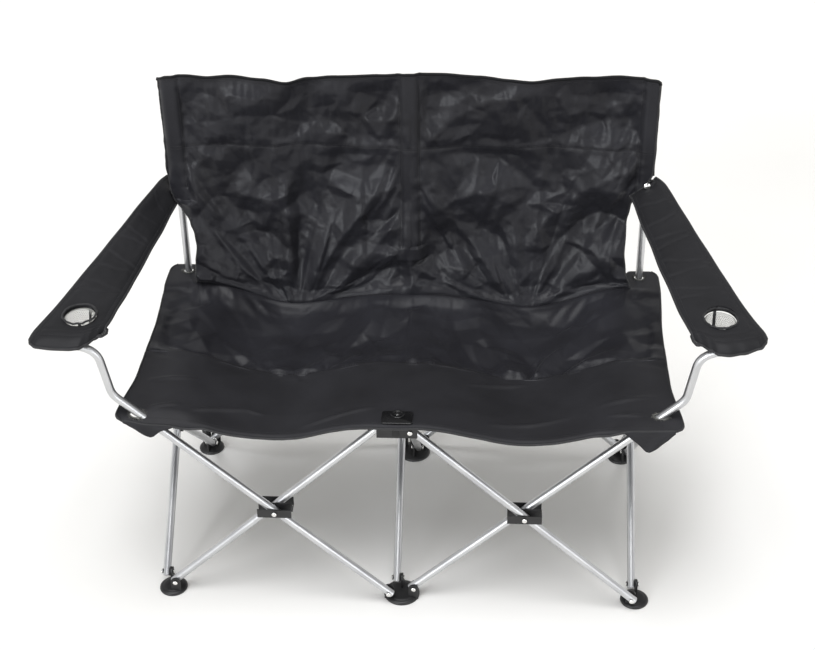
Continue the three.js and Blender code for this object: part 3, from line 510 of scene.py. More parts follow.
def along(table, at):
    """Reads a table of (place, value), in rising order, with soft steps between its rows."""
    if at <= table[0][0]:
        return table[0][1]
    for (a, low), (b, high) in zip(table, table[1:]):
        if at <= b:
            return mix(low, high, smooth((at - a) / (b - a)))
    return table[-1][1]


def crease(x, y, ends, wide):
    """How much of one long crease a place has, from 0 to 1, fading towards the crease's ends."""
    (ax, ay), (bx, by) = ends
    dx, dy = bx - ax, by - ay
    length = math.hypot(dx, dy)
    u = ((x - ax) * dx + (y - ay) * dy) / length ** 2
    away = abs((x - ax) * dy - (y - ay) * dx) / length
    return bell(away, wide) * math.sin(math.pi * clamp01(u)) ** 0.7 if 0 < u < 1 else 0.0


def thicken(obj, thickness):
    solid = obj.modifiers.new("thick", "SOLIDIFY")
    solid.thickness = thickness
    solid.offset = 0.0
    return bake(obj)


def edge_points(obj, columns, rows, side):
    """The places along the "front", "left" or "right" edge of a grid."""
    steps = {
        "front": [(i, 0) for i in range(columns + 1)],
        "left": [(0, j) for j in range(rows + 1)],
        "right": [(columns, j) for j in range(rows + 1)],
    }
    return [obj.data.vertices[j * (columns + 1) + i].co.copy() for i, j in steps[side]]


def stitches(name, lines, material, pitch=0.0045, length=0.003, radius=0.00045):
    """Sewn thread: short rounded dashes along each line, in one mesh."""
    dashes = []
    for line in lines:
        points = [Vector(p) for p in line]
        carry = 0.0
        for a, b in zip(points, points[1:]):
            step = (b - a).length
            if step < 1e-7:
                continue
            way = (b - a) / step
            at = carry
            while at + length < step + pitch * 0.3:
                p = a + way * at
                dash = [p, p + way * (length * 0.5), p + way * length]
                dashes.append(sweep_mesh(dash, radius, radius, 5))
                at += pitch
            carry = max(0.0, at - step)
    return joined(name, dashes, material)


def dress(piece, body, squash=None, replaces=()):
    """Puts a piece on its body and hides the frame parts it replaces; with a squash it gets a mesh of its
    own.
    """
    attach(piece, body)
    if replaces:
        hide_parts(*replaces)
    if squash:
        axis, anchor, keep = squash
        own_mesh(piece)
        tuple(axis)
        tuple(anchor)
    return piece


def trim(name, points, size, material, body, squash=None, sides=8, closed=False):
    """A tape, hem or loop swept along points, as cloth on its body."""
    return dress(sweep(name, points, size, material, sides, closed), body, squash)


# Tubes and posts


def tube_points(name):
    """Ends of a straight tube, as (lower pin, direction)."""
    where = name.rsplit("_", 1)[1]
    side = {"left": -1, "centre": 0, "right": 1}[where]
    lean_in = Vector((-side * math.sin(LEAN), 0, math.cos(LEAN)))
    lean_out = Vector((side * math.sin(LEAN), 0, math.cos(LEAN)))
    if name.startswith("front_tube"):
        return Vector((side * OUTER_X, FRONT_Y - side * LAYER, PIN_Z)), lean_in
    if name.startswith("rear_outer"):
        return Vector((side * CENTRE_PIN_X, REAR_Y + LAYER, PIN_Z)), lean_out
    if name.startswith("rear_inner"):
        return Vector((side * OUTER_X, REAR_Y - LAYER, PIN_Z)), lean_in
    if name.startswith("side_front"):
        way = Vector((0, math.sin(LEAN), math.cos(LEAN)))
        return Vector((side * STATION_X - LAYER, FRONT_Y + SIDE_PIN_IN, PIN_Z)), way
    way = Vector((0, -math.sin(LEAN), math.cos(LEAN)))
    return Vector((side * STATION_X + LAYER, REAR_Y - SIDE_PIN_IN, PIN_Z)), way


TUBE_WALL, TUBE_SOFT, TUBE_BORE = 0.0012, 0.0007, 0.004
# The arm tube's two bends and its end: how far outside the outer pin, and how high
ARM_BENDS = ((0.072, PIN_TOP + 0.072 / math.tan(LEAN)), (0.089, 0.612), (0.154, 0.632))
BEND_R, BEND_STEPS = 0.042, 12


def round_tube(name, points, material, sides=28):
    """A drawn tube with softened ends that show its wall and the start of its bore."""
    path = [Vector(p) for p in points]
    stations = frames_along(path)
    first, last = stations[0], stations[-1]
    ways = {id(first): (path[0] - path[1]).normalized(), id(last): (path[-1] - path[-2]).normalized()}
    inner, rim = TUBE_R - TUBE_WALL, TUBE_R - TUBE_SOFT
    rings = [(first, inner, -TUBE_BORE), (first, inner, 0.0), (first, rim, 0.0)]
    rings += [(s, TUBE_R, -TUBE_SOFT if s is first or s is last else 0.0) for s in stations]
    rings += [(last, rim, 0.0), (last, inner, 0.0), (last, inner, -TUBE_BORE)]
    verts = []
    for station, r, shift in rings:
        p, side, up = station
        centre = p + ways.get(id(station), Vector((0, 0, 0))) * shift
        verts += [centre + side * (r * math.cos(a)) + up * (r * math.sin(a)) for a in circle(sides)]
    return keep_sharp(face_out(new_object(name, verts, ring_faces(len(rings), sides), material)), 40)


def arm_points(side):
    """The bent arm tube: stations along its middle, from the lower end."""
    y = FRONT_Y + side * LAYER
    low_x, low_z = CENTRE_PIN_X - TUBE_END * math.sin(LEAN), PIN_Z - TUBE_END * math.cos(LEAN)
    corners = [Vector((side * low_x, y, low_z))]
    corners += [Vector((side * (OUTER_X + out), y, z)) for out, z in ARM_BENDS]
    points = [corners[0]]
    for before, at, after in zip(corners, corners[1:], corners[2:]):
        into, out = (at - before).normalized(), (after - at).normalized()
        cut = BEND_R * math.tan(into.angle(out) / 2)
        start, end = at - into * cut, at + out * cut
        for k in range(BEND_STEPS + 1):
            t = k / BEND_STEPS
            points.append(start.lerp(at, t).lerp(at.lerp(end, t), t))
    return points + [corners[-1]]


def add_tubes(looks):
    bodies = frame["record"]["behaviour"]["bodies"]
    body_of = {node: body for body, nodes in bodies.items() for node in nodes}
    for node in sorted(body_of):
        if "_tube_" not in node and not node.startswith("back_post"):
            continue
        if node.startswith("arm_tube"):
            points = arm_points(-1 if node.endswith("left") else 1)
        elif node.startswith("back_post"):
            x = {"left": -POST_X, "centre": 0.0, "right": POST_X}[node.rsplit("_", 1)[1]]
            points = [(x, REAR_Y, POST_LOW), (x, REAR_Y, 0.4), (x, REAR_Y, POST_TOP)]
        else:
            low, way = tube_points(node)
            points = [low - way * TUBE_END, low + way * (LENGTH / 2), low + way * (LENGTH + TUBE_END)]
        piece = round_tube(f"{node}_drawn", points, looks["tube"])
        dress(piece, body_of[node], replaces=(node,))


# Rivets, feet and moulded detail

RIVET_R, RIVET_HIGH, RIVET_RIM = 0.0052, 0.0026, 0.0003
HEAD_LIFT, BLOCK_HEAD_LIFT = 0.0016, 0.0019
# Each foot's rim, from the floor up: how far outside the foot's radius, and how high
SKIRT = [
    (-0.004, 0.0), (0.0003, 0.0004), (0.0010, 0.0022), (0.0006, 0.0045), (-0.0020, 0.0068),
    (-0.0042, 0.0078), (-0.0056, 0.0076), (-0.0066, 0.0084), (-0.0100, 0.0092), (-0.0160, 0.0095),
]
FOOT_IN, FOOT_OUT, FOOT_R, CENTRE_FOOT_R = 0.016, 0.009, 0.028, 0.036
# Profiles of the ring round the clamp plate's screw and of the screw's head: (radius, height)
RECESS = [
    (0.0130, -0.0004), (0.0132, 0.0004), (0.0122, 0.0012), (0.0098, 0.0013), (0.0088, 0.0004),
    (0.0002, 0.0003),
]
SCREW_HEAD = [
    (0.0062, 0.0001), (0.0064, 0.0006), (0.0054, 0.0016), (0.0034, 0.0023), (0.0014, 0.0025),
    (0.0003, 0.0025),
]
PLATE_LIFT = 0.0004
# The screw's cross, raised in dark plastic as painted shade of its recess: its reach and half sizes; the slot
# in the hub's face, a dark sheet of painted shade: half its side, and its height
CROSS_REACH, CROSS_SIZE = 0.0036, (0.0009, 0.0005)
SLOT_HALF, SLOT_HIGH = 0.0075, 0.0008


def dome(radius, height):
    """Profile of a rivet head: a low dome with a short straight rim."""
    steps = [(radius * 0.98, -0.0002), (radius, RIVET_RIM)]
    for k in range(1, 6):
        a = k / 6 * math.pi / 2
        steps.append((radius * math.cos(a), RIVET_RIM + (height - RIVET_RIM) * math.sin(a)))
    return steps + [(0.0004, height)]


def rivet_heads(name, ends, looks, body):
    """Bright domed heads over the ends of the pins of one body, in one mesh."""
    heads = [lathe_mesh(dome(RIVET_R, RIVET_HIGH), origin, axis, 20) for origin, axis in ends]
    return dress(face_out(joined(name, heads, looks["rivet"])), body)


def pin_ends(axis, plate, way, across, z):
    """Both ends of a pin that goes through a plate and the tube beside it: (place, outward axis)."""
    far = plate + way * (OUTSIDE - 0.0002 + HEAD_LIFT)
    near = plate - way * (0.002 + HEAD_LIFT)
    if axis == "y":
        return [((across, far, z), (0, way, 0)), ((across, near, z), (0, -way, 0))]
    return [((far, across, z), (way, 0, 0)), ((near, across, z), (-way, 0, 0))]


def add_rivets(looks):
    side_front, side_rear = FRONT_Y + SIDE_PIN_IN, REAR_Y - SIDE_PIN_IN
    inner = CENTRE_PIN_X

    def heads(name, body, *pins):
        rivet_heads(name, [end for pin in pins for end in pin_ends(*pin)], looks, body)

    for where, s in SIDES:
        x, sx = s * OUTER_X, s * STATION_X
        low_front, low_rear = ("x", sx, -1, side_front, PIN_Z), ("x", sx, 1, side_rear, PIN_Z)
        top_front, top_rear = ("x", sx, 1, side_front, PIN_TOP), ("x", sx, -1, side_rear, PIN_TOP)
        heads(f"foot_rivets_front_{where}", f"foot_front_{where}", ("y", FRONT_Y, -s, x, PIN_Z), low_front)
        heads(f"foot_rivets_rear_{where}", f"foot_rear_{where}", ("y", REAR_Y, -1, x, PIN_Z), low_rear)
        heads(f"corner_rivets_{where}", f"corner_{where}", ("y", FRONT_Y, s, x, PIN_TOP), top_front)
        heads(f"collar_rivets_{where}", f"collar_{where}", ("y", REAR_Y, 1, x, PIN_TOP), top_rear)
    pins = [("y", FRONT_Y, way, way * inner, PIN_Z) for way in (-1, 1)]
    heads("foot_rivets_front_centre", "foot_front_centre", *pins, ("x", 0.0, -1, side_front, PIN_Z))
    for name, body, way, z in (
        ("foot_rivets_rear_centre", "rear_centre", 1, PIN_Z),
        ("collar_rivets_centre", "collar_centre", -1, PIN_TOP),
    ):
        pins = [("y", REAR_Y, way, x, z) for x in (-inner, inner)]
        heads(name, body, *pins, ("x", 0.0, way, side_rear, z))
    face = OUTSIDE + PLATE + HEAD_LIFT
    ends = [((-way * inner, FRONT_Y + way * face, PIN_TOP), (0, way, 0)) for way in (-1, 1)]
    rivet_heads("hub_rivets", ends + pin_ends("x", 0.0, 1, side_front, PIN_TOP), looks, "front_hub")
    face = OUTSIDE + PLATE + BLOCK_HEAD_LIFT
    for plane, y in (("front", FRONT_Y), ("rear", REAR_Y)):
        for where, s in SIDES:
            ends = [((s * MID_X, y + way * face, MID_Z), (0, way, 0)) for way in (-1, 1)]
            rivet_heads(f"block_rivets_{plane}_{where}", ends, looks, f"block_{plane}_{where}")


def add_foot_skirts(looks):
    """A rounded skirt over the rim of each foot, with a groove above it."""
    out = OUTER_X + FOOT_OUT
    for plane, y in (("front", FRONT_Y + FOOT_IN), ("rear", REAR_Y - FOOT_IN)):
        for where, x, r in (("left", -out, FOOT_R), ("centre", 0, CENTRE_FOOT_R), ("right", out, FOOT_R)):
            body = "rear_centre" if (plane, where) == ("rear", "centre") else f"foot_{plane}_{where}"
            profile = [(r + past, z) for past, z in SKIRT] + [(0.002, 0.0096)]
            skirt = lathe(f"skirt_{body}", profile, (x, y, 0), (0, 0, 1), 48, looks["plastic"])
            dress(skirt, body)


def rounded_plate(name, half_x, half_y, high, centre, material, corner, soft):
    """A moulded plate with round corners and a softened upper edge."""
    outline = []
    for cx, cy, start in ((1, 1, 0), (-1, 1, 90), (-1, -1, 180), (1, -1, 270)):
        for k in range(5):
            a = math.radians(start + 22.5 * k)
            x = cx * (half_x - corner) + corner * math.cos(a)
            outline.append((x, cy * (half_y - corner) + corner * math.sin(a)))
    levels = [(0.0, 0.0), (0.0, high - soft), (soft * 0.3, high - soft * 0.3), (soft, high)]
    verts = []
    for inset, z in levels:
        in_x, in_y = 1 - inset / half_x, 1 - inset / half_y
        verts += [(centre[0] + x * in_x, centre[1] + y * in_y, centre[2] + z) for x, y in outline]
    return face_out(new_object(name, verts, ring_faces(len(levels), len(outline)), material))


def add_hub_detail(looks):
    """The clamp plate over the cloth on the front hub, its sunk screw with a dark raised cross, and a dark
    sheet on the hub's face for the slot; the cross and the sheet are painted shade.
    """
    low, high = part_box("seat_clamp")
    middle = Vector((0, (low[1] + high[1]) / 2, low[2]))
    half_x, half_y, thick = (high[0] - low[0]) / 2, (high[1] - low[1]) / 2, high[2] - low[2]
    gloss, plain = looks["gloss"], looks["plastic"]
    plate = rounded_plate("hub_clamp_plate", half_x, half_y, thick + PLATE_LIFT, middle, gloss, 0.005, 0.0010)
    dress(plate, "front_hub", replaces=("seat_clamp",))
    screw = Vector((0, FRONT_Y + TUBE_R, low[2] + thick + PLATE_LIFT))
    dress(lathe("hub_clamp_recess", RECESS, screw, (0, 0, 1), 32, gloss), "front_hub")
    head = lathe("hub_screw_head", SCREW_HEAD, screw, (0, 0, 1), 28, looks["screw"])
    dress(head, "front_hub", replaces=("seat_screw",))
    base = screw + Vector((0, 0, 0.0023))
    # A dark plastic cross over the screw head stands for its cross recess: painted shade.
    for k, turn in enumerate((0, 90)):
        a = math.radians(turn)
        reach = Vector((math.cos(a), math.sin(a), 0)) * CROSS_REACH
        path = [base - reach, base + Vector((0, 0, 0.0003)), base + reach]
        dress(sweep(f"hub_screw_cross_painted_shade_{k}", path, CROSS_SIZE, plain), "front_hub")
    # A near-black sheet on the hub's face stands for the slot: painted shade.
    place = Matrix.Translation((-0.002, FRONT_Y - OUTSIDE - PLATE, PIN_TOP - 0.001))
    slot = rounded_plate("hub_slot_painted_shade", SLOT_HALF, SLOT_HALF, SLOT_HIGH, (0, 0, 0), looks["dark"], 0.002, 0.0004)
    slot.data.transform(place @ Matrix.Rotation(math.pi / 2, 4, "X"))
    dress(slot, "front_hub")


# Cloth: the seat


def hang(x):
    share = clamp01((abs(x) - HUB_W / 2) / (OUTER_X - HUB_W / 2))
    return math.sin(math.pi * share) ** 2


def seat_z(x, v):
    out = smooth(clamp01(abs(x) / OUTER_X))
    front = mix(SEAT_CENTRE_Z, SEAT_CORNER_Z, out)
    rear = mix(SEAT_REAR_Z, SEAT_CORNER_Z, out)
    held = mix(front, rear, v)
    slack = math.sin(math.pi * clamp01((v - HUB_SHARE) / (1 - HUB_SHARE)))
    sag = SEAT_SAG * hang(x) * (1 + 0.35 * slack)
    folds = SEAT_FOLD * math.sin((abs(x) / OUTER_X) * 9 + v * 5) * hang(x) * v
    return held - sag - 0.006 * slack * (1 - out) + folds


def seat_edge(v):
    return OUTER_X + mix(SEAT_TIP_OUT, SEAT_WAIST_OUT, smooth(clamp01(v / 0.3)))


CORNER_ROUND = 0.014
# How far the front panel laps the rear one at their seam, and how far it is drawn down there
SEAM_LAP, SEAM_SINK = 0.006, 0.0012
# The front hem: how deep its dip and its curl reach, how far it waves and curls, and where the curl ends
DIP_DEEP, CURL_DEEP = 0.034, 0.007
HEM_WAVE, HEM_CURL, CURL_END, CURL_FADE = 0.0035, 0.0050, 0.43, 0.03
# How far the front corners hang down, by distance from the middle
CORNER_DIP = {
    -1: [(0.36, 0.0), (0.43, 0.018), (0.47, 0.018), (0.53, 0.009), (0.545, 0.002)],
    1: [(0.36, 0.0), (0.43, 0.006), (0.47, 0.008), (0.53, 0.006), (0.545, 0.002)],
}
# Long creases on the front panel: their two ends, width and height, and what all are scaled by
FRONT_CREASES = [
    (((-0.405, -0.236), (-0.285, -0.190)), 0.0050, 0.0028),
    (((-0.300, -0.196), (-0.262, -0.204)), 0.0040, 0.0018),
    (((-0.190, -0.252), (-0.042, -0.212)), 0.0050, 0.0024),
    (((0.130, -0.100), (0.250, -0.062)), 0.0060, 0.0026),
    (((0.170, -0.232), (0.330, -0.208)), 0.0060, 0.0018),
    (((-0.500, -0.150), (-0.400, -0.128)), 0.0060, 0.0016),
    (((0.380, -0.190), (0.500, -0.172)), 0.0070, 0.0018),
    (((-0.480, -0.240), (-0.420, -0.222)), 0.0045, 0.0022),
    (((0.470, -0.236), (0.400, -0.224)), 0.0045, 0.0022),
]
CREASE_WIDE, CREASE_HIGH = 0.85, 1.7


def front_point(s, t):
    """A place on the seat's front panel: s across, t from the front hem to the seam."""
    v = t * SEAM_SHARE
    depth = v * SEAT_DEPTH
    rounded = CORNER_ROUND * (1 - math.sqrt(1 - (1 - clamp01(depth / CORNER_ROUND)) ** 2))
    x = (2 * s - 1) * (seat_edge(v) - rounded)
    y = SEAT_FRONT_Y + depth + SEAM_LAP * t ** 8
    side = -1 if x < 0 else 1
    near = clamp01(1 - depth / DIP_DEEP)
    dip = along(CORNER_DIP[side], abs(x)) * near ** 1.5
    ripple = HEM_WAVE * noise.noise(Vector((x * 13, 3.1, 0))) * near
    curl = HEM_CURL * clamp01(1 - depth / CURL_DEEP) ** 2 * clamp01((CURL_END - abs(x)) / CURL_FADE)
    return Vector((x, y + ripple, seat_z(x, v) + 0.0005 - dip - curl - SEAM_SINK * t ** 8))


# How far the rear panel's fold beside the back stands up, by distance from the middle
REAR_FOLD = [(0.20, 0.0), (0.34, 0.004), (0.47, 0.006), (0.56, 0.006)]
# How far its sides bulge and its rear corners are rounded, and where the tabs at the posts begin
BULGE, TAB_ROUND = 0.009, 0.012
TAB_FROM, TAB_SOFT = 0.450, 0.020
# How far before the crease that fold starts, and over what depth it rises
FOLD_BEFORE, FOLD_DEEP = 0.032, 0.016


def rear_point(s, t):
    """A place on the seat's rear panel: s across, t from the seam to the crease and the tabs at the posts."""
    v = mix(SEAM_SHARE, 1, t)
    rounded = TAB_ROUND * clamp01((t - 0.93) / 0.07) ** 2
    wide = seat_edge(v) + BULGE * smooth(clamp01((v - 0.6) / 0.3)) - rounded
    x = (2 * s - 1) * wide
    outside = smooth(clamp01((abs(x) - TAB_FROM) / TAB_SOFT))
    y = mix(SEAM_Y - 0.002, mix(CREASE_Y + 0.003, TAB_Y + 0.006, outside), t)
    tuck = along(REAR_FOLD, abs(x)) * smooth(clamp01((y - CREASE_Y + FOLD_BEFORE) / FOLD_DEEP))
    sunk = 0.0016 * clamp01(1 - (y - SEAM_Y + 0.002) / 0.006)
    return Vector((x, y, seat_z(x, v) + 0.0006 + tuck - sunk))


def seat_hold(p):
    if p.y < SEAM_Y + 0.004 or p.y > CREASE_Y - 0.006:
        return 1.0
    if abs(p.x) > OUTER_X + SEAT_WAIST_OUT - 0.016:
        return 1.0
    return 0.0


def fan_plane(x, rise, middle, stretch):
    """Places in a plane where folds that fan out from one point run straight."""
    return math.atan2(x - middle, rise) * 0.21, math.hypot(x - middle, rise) * stretch


TUBE_HOLE_X = CENTRE_PIN_X + (SEAT_CORNER_Z + 0.001 - PIN_Z) * math.tan(LEAN)
SEAT_SQUASH = ((1, 0, 0), (0, 0, 0.45), SIDE_KEEP)
# How high the rear panel's facets and the gathers along its seam are
SEAT_BROAD, SEAT_SMALL, SEAT_GATHER = 0.0165, 0.0056, 0.0050
# Half sizes of the tapes along the edges, and of the holes for the arm tubes and the posts
EDGE_TAPE, HEM_TAPE = (0.0022, 0.0018), (0.0026, 0.0020)
TUBE_HOLE, POST_HOLE = (0.0128, 0.0087), (0.0100, 0.0100)
# Thickness of the flat and the crumpled cloth, the corner flaps and the sleeves' linings
FLAT_THICK, CRUMPLED_THICK, FLAP_THICK, LINING_THICK = 0.0014, 0.0012, 0.0016, 0.0006
# Stitching: how far behind the hem and the seam it runs, and how far the seam's goes, in what steps
HEM_SEWN_IN, SEAM_SEWN_IN = 0.012, (0.003, 0.007)
SEAM_HALF, SEAM_STEP, SEAM_STEPS = 0.515, 0.005, 206
ABOVE_SEAT = 0.6


def add_seat_front(looks):
    """The flat front panel with its hem, its holes for the arm tubes and its corner flaps."""
    body, tape = "seat_front", looks["tape"]
    columns, rows = 260, 60
    fine = Facets(31, 0.034, (-0.6, -0.3), (0.6, 0.3))
    front = grid("seat_front_cloth", columns, rows, front_point, looks["flat"])
    for v in front.data.vertices:
        x, y = v.co.x, v.co.y
        lift = sum(
            CREASE_HIGH * high * crease(x, y, ends, wide * CREASE_WIDE)
            for ends, wide, high in FRONT_CREASES
        )
        calm = 0.0008 + 0.0022 * clamp01((y - SEAM_Y + 0.05) / 0.04) ** 2 * clamp01((SEAM_Y - y) / 0.01)
        v.co.z += lift + calm * fine.at(x, y) * clamp01(1 - near_tube(x, y))
    edges = {side: edge_points(front, columns, rows, side) for side in ("front", "left", "right")}
    holes = [(side * TUBE_HOLE_X, FRONT_Y + side * LAYER, *TUBE_HOLE) for _, side in SIDES]
    cut_holes(front, holes)
    thicken(front, FLAT_THICK)
    dress(front, body, SEAT_SQUASH, ("seat_front",))
    trims = [trim("seat_front_hem", edges["front"], HEM_TAPE, tape, body, SEAT_SQUASH)]
    for where, _ in SIDES:
        trims.append(trim(f"seat_front_edge_{where}", edges[where], EDGE_TAPE, tape, body, SEAT_SQUASH))
    surface = Surface(front, (0, 0, -1))
    line = [surface.at((p.x, p.y + HEM_SEWN_IN, ABOVE_SEAT)) for p in edges["front"][6:-6]]
    sewn = stitches("seat_front_stitches", [[p for p in line if p]], looks["thread"])
    trims.append(dress(sewn, body, SEAT_SQUASH))
    for (where, _), hole in zip(SIDES, holes):
        ring = sewn_ring(f"seat_hole_{where}", surface, hole, looks)
        trims += [dress(piece, body, SEAT_SQUASH) for piece in ring]
    for where, side in SIDES:
        trims.append(add_flap(where, side, edges["front"], looks))


def rear_lift(x, y, broad, small):
    """How far the crumple and the gathers along the seam lift a place on the rear panel."""
    off_seam = clamp01((y - SEAM_Y - 0.002) / 0.014)
    off_crease = 0.35 + 0.65 * clamp01((CREASE_Y - 0.006 - y) / 0.02)
    free = off_seam * off_crease * clamp01((CREASE_Y + 0.002 - y) / 0.008)
    pucker = abs(noise.noise(Vector((x * 26, y * 10, 4))))
    gather = SEAT_GATHER * bell(y - SEAM_Y - 0.013, 0.014) * pucker
    side = -1 if x < 0 else 1
    u, w = fan_plane(x, y - SEAM_Y + 0.06, side * 0.25, 0.55)
    inner = smooth(clamp01((abs(x) + 0.02) / 0.05)) * (0.25 + 0.75 * clamp01((0.50 - abs(x)) / 0.10))
    calm = 0.3 + 0.7 * clamp01((0.52 - abs(x)) / 0.08)
    lift = SEAT_BROAD * inner * broad[side].at(u, w) + SEAT_SMALL * calm * small.at(x, y)
    return free * lift + gather


def add_seat_rear(looks):
    """The crumpled rear panel with its side tapes, its seam and its holes for the posts."""
    rear = grid("seat_rear_cloth", 150, 44, rear_point, looks["seat"])
    simulate(rear, seat_hold, frames=22, slack=0.014, cap=0.008, gravity=0.5)
    refine(rear)
    broad = {side: Facets(41 + side, 0.062, (-0.8, -0.05), (0.8, 0.6), 0.05) for side in (-1, 1)}
    small = Facets(53, 0.034, (-0.6, -0.1), (0.6, 0.35), 0.05)
    for v in rear.data.vertices:
        v.co.z += rear_lift(v.co.x, v.co.y, broad, small)
    edges = {where: grid_edge(rear, rear_point, where) for where, _ in SIDES}
    holes = [(side * POST_X, REAR_Y, *POST_HOLE) for _, side in SIDES]
    cut_holes(rear, holes)
    thicken(rear, CRUMPLED_THICK)
    dress(rear, "seat_rear", SEAT_SQUASH, ("seat_rear",))
    trims = []
    for where, _ in SIDES:
        name = f"seat_rear_edge_{where}"
        trims.append(trim(name, edges[where], EDGE_TAPE, looks["tape"], "seat_rear", SEAT_SQUASH))
    surface = Surface(rear, (0, 0, -1))
    lines = []
    across = [-SEAM_HALF + k * SEAM_STEP for k in range(SEAM_STEPS + 1)]
    for inset in SEAM_SEWN_IN:
        line = [surface.at((x, SEAM_Y + inset, ABOVE_SEAT)) for x in across]
        lines.append([p for p in line if p])
    sewn = stitches("seat_seam_stitches", lines, looks["thread"])
    trims.append(dress(sewn, "seat_rear", SEAT_SQUASH))
    for (where, _), hole in zip(SIDES, holes):
        ring = sewn_ring(f"seat_tab_{where}", surface, hole, looks)
        trims += [dress(piece, f"collar_{where}") for piece in ring]


def near_tube(x, y):
    """How close a place on the seat is to where an arm tube comes up through it, from 0 to 1."""
    side = -1 if x < 0 else 1
    away = math.hypot(x - side * TUBE_HOLE_X, (y - (FRONT_Y + side * LAYER)) * 1.6)
    return clamp01(1 - away / 0.05)


def grid_edge(obj, point, side, count=60):
    """Places along the side of a sheet, moved to the nearest vertex of its finished mesh."""
    s = 0.0 if side == "left" else 1.0
    wanted = [point(s, k / count) for k in range(count + 1)]
    verts = [v.co for v in obj.data.vertices if abs(v.co.x) > 0.47]
    return [min(verts, key=lambda c: (c - w).length_squared).copy() for w in wanted]


def cut_holes(obj, ovals):
    """Opens oval holes in a level sheet and draws the edge of each onto its oval."""
    bm = bmesh.new()
    bm.from_mesh(obj.data)
    for x, y, half_x, half_y in ovals:
        inside = lambda c: math.hypot((c.x - x) / half_x, (c.y - y) / half_y) < 1.0
        gone = [f for f in bm.faces if inside(f.calc_center_median())]
        bmesh.ops.delete(bm, geom=gone, context="FACES")
        for v in bm.verts:
            far = math.hypot((v.co.x - x) / half_x, (v.co.y - y) / half_y)
            if v.is_boundary and 0.2 < far < 1.8:
                v.co.x = x + (v.co.x - x) / far
                v.co.y = y + (v.co.y - y) / far
    loose = [v for v in bm.verts if not v.link_faces]
    bmesh.ops.delete(bm, geom=loose, context="VERTS")
    bm.to_mesh(obj.data)
    bm.free()


class Surface:
    """Finds a cloth's outer side by looking along one way."""

    def __init__(self, obj, way):
        depsgraph = bpy.context.evaluated_depsgraph_get()
        depsgraph.update()
        self.tree = BVHTree.FromObject(obj, depsgraph)
        self.way = Vector(way)

    def at(self, place):
        hit = self.tree.ray_cast(Vector(place), self.way)
        return hit[0] - self.way * 0.0003 if hit[0] else None


# The whipped edge of a hole: its half sizes, how many threads cross it, and their radius
WHIP_EDGE, WHIP_THREADS, WHIP_R = (0.0015, 0.0013), 26, 0.0005


def sewn_ring(name, surface, hole, looks):
    """The whipped edge of a hole in the cloth, and the loose stitches round it."""
    mid_x, mid_y, half_x, half_y = hole

    def on_cloth(a, far):
        x, y = mid_x + half_x * far * math.cos(a), mid_y + half_y * far * math.sin(a)
        return surface.at((x, y, ABOVE_SEAT)) or Vector((x, y, SEAT_CORNER_Z))

    path = [on_cloth(a, 1.10) for a in circle(36)]
    level = sum(p.z for p in path) / len(path)
    path = [Vector((p.x, p.y, mix(p.z, level, 0.5))) for p in path]
    edge = sweep(f"{name}_edge", path, WHIP_EDGE, looks["fray"], closed=True)
    draw = random.Random(len(name))
    threads = []
    for k in range(WHIP_THREADS):
        a = 2 * math.pi * (k + draw.uniform(-0.3, 0.3)) / WHIP_THREADS
        near, far = on_cloth(a, 1.12), on_cloth(a + 0.12, 1.35 + draw.uniform(0, 0.35))
        middle = near.lerp(far, 0.5) + Vector((0, 0, 0.0006))
        threads.append(sweep_mesh([near, middle, far], WHIP_R, WHIP_R, 5))
    return edge, joined(f"{name}_whip", threads, looks["fray"])


# How far each corner flap hangs down, by distance from the middle
FLAP_SHAPES = {
    "left": [
        (0.430, 0.001), (0.452, 0.010), (0.466, 0.022), (0.472, 0.023), (0.490, 0.016), (0.512, 0.009),
        (0.5245, 0.002),
    ],
    "right": [
        (0.430, 0.001), (0.448, 0.018), (0.470, 0.040), (0.477, 0.042), (0.492, 0.034), (0.512, 0.018),
        (0.5245, 0.003),
    ],
}


# How far a flap curls forward at its tip, bellies and waves, and its place before and above the hem
FLAP_CURL, FLAP_BELLY, FLAP_WAVE = 0.007, 0.002, 0.0016
FLAP_BEFORE, FLAP_ABOVE = 0.0012, 0.0004


def add_flap(where, side, hem, looks):
    """The seat's corner turned down in front as a pointed flap."""
    shape = FLAP_SHAPES[where]
    first, last = shape[0][0], shape[-1][0]
    line = sorted((p for p in hem if p.x * side > 0), key=lambda p: abs(p.x))

    def top(x):
        after = next((k for k, p in enumerate(line) if abs(p.x) >= x), len(line) - 1)
        a, b = line[max(after - 1, 0)], line[after]
        share = clamp01((x - abs(a.x)) / max(abs(b.x) - abs(a.x), 1e-6))
        return a.lerp(b, share)

    def point(s, t):
        x = mix(first, last, s)
        drop = next(mix(l, h, (x - a) / (b - a)) for (a, l), (b, h) in zip(shape, shape[1:]) if x <= b + 1e-9)
        at = top(x)
        curl = FLAP_CURL * math.sin(math.pi * s) * t ** 2 + FLAP_BELLY * math.sin(math.pi * t)
        fold = FLAP_WAVE * math.sin(s * 13 + t * 4) * t
        return Vector((side * x, at.y - FLAP_BEFORE - curl + fold, at.z + FLAP_ABOVE - t * drop))

    flap = grid(f"seat_flap_{where}", 40, 18, point, looks["flat"])
    thicken(flap, FLAP_THICK)
    return dress(flap, "seat_front", SEAT_SQUASH)


# Cloth: the back

# How far the side edges stand out from the post axes, by height
EDGE_OUT = {
    -1: [(0.46, -0.026), (0.507, -0.031), (0.55, -0.036), (0.58, -0.033), (0.606, -0.024), (0.630, -0.008),
         (0.642, 0.006), (0.655, 0.013), (0.684, 0.019), (0.72, 0.022), (0.77, 0.021), (0.96, 0.021)],
    1: [(0.46, -0.022), (0.507, -0.036), (0.55, -0.041), (0.60, -0.038), (0.650, -0.032), (0.680, -0.018),
        (0.704, 0.002), (0.724, 0.010), (0.76, 0.0115), (0.81, 0.0108), (0.96, 0.0115)],
}
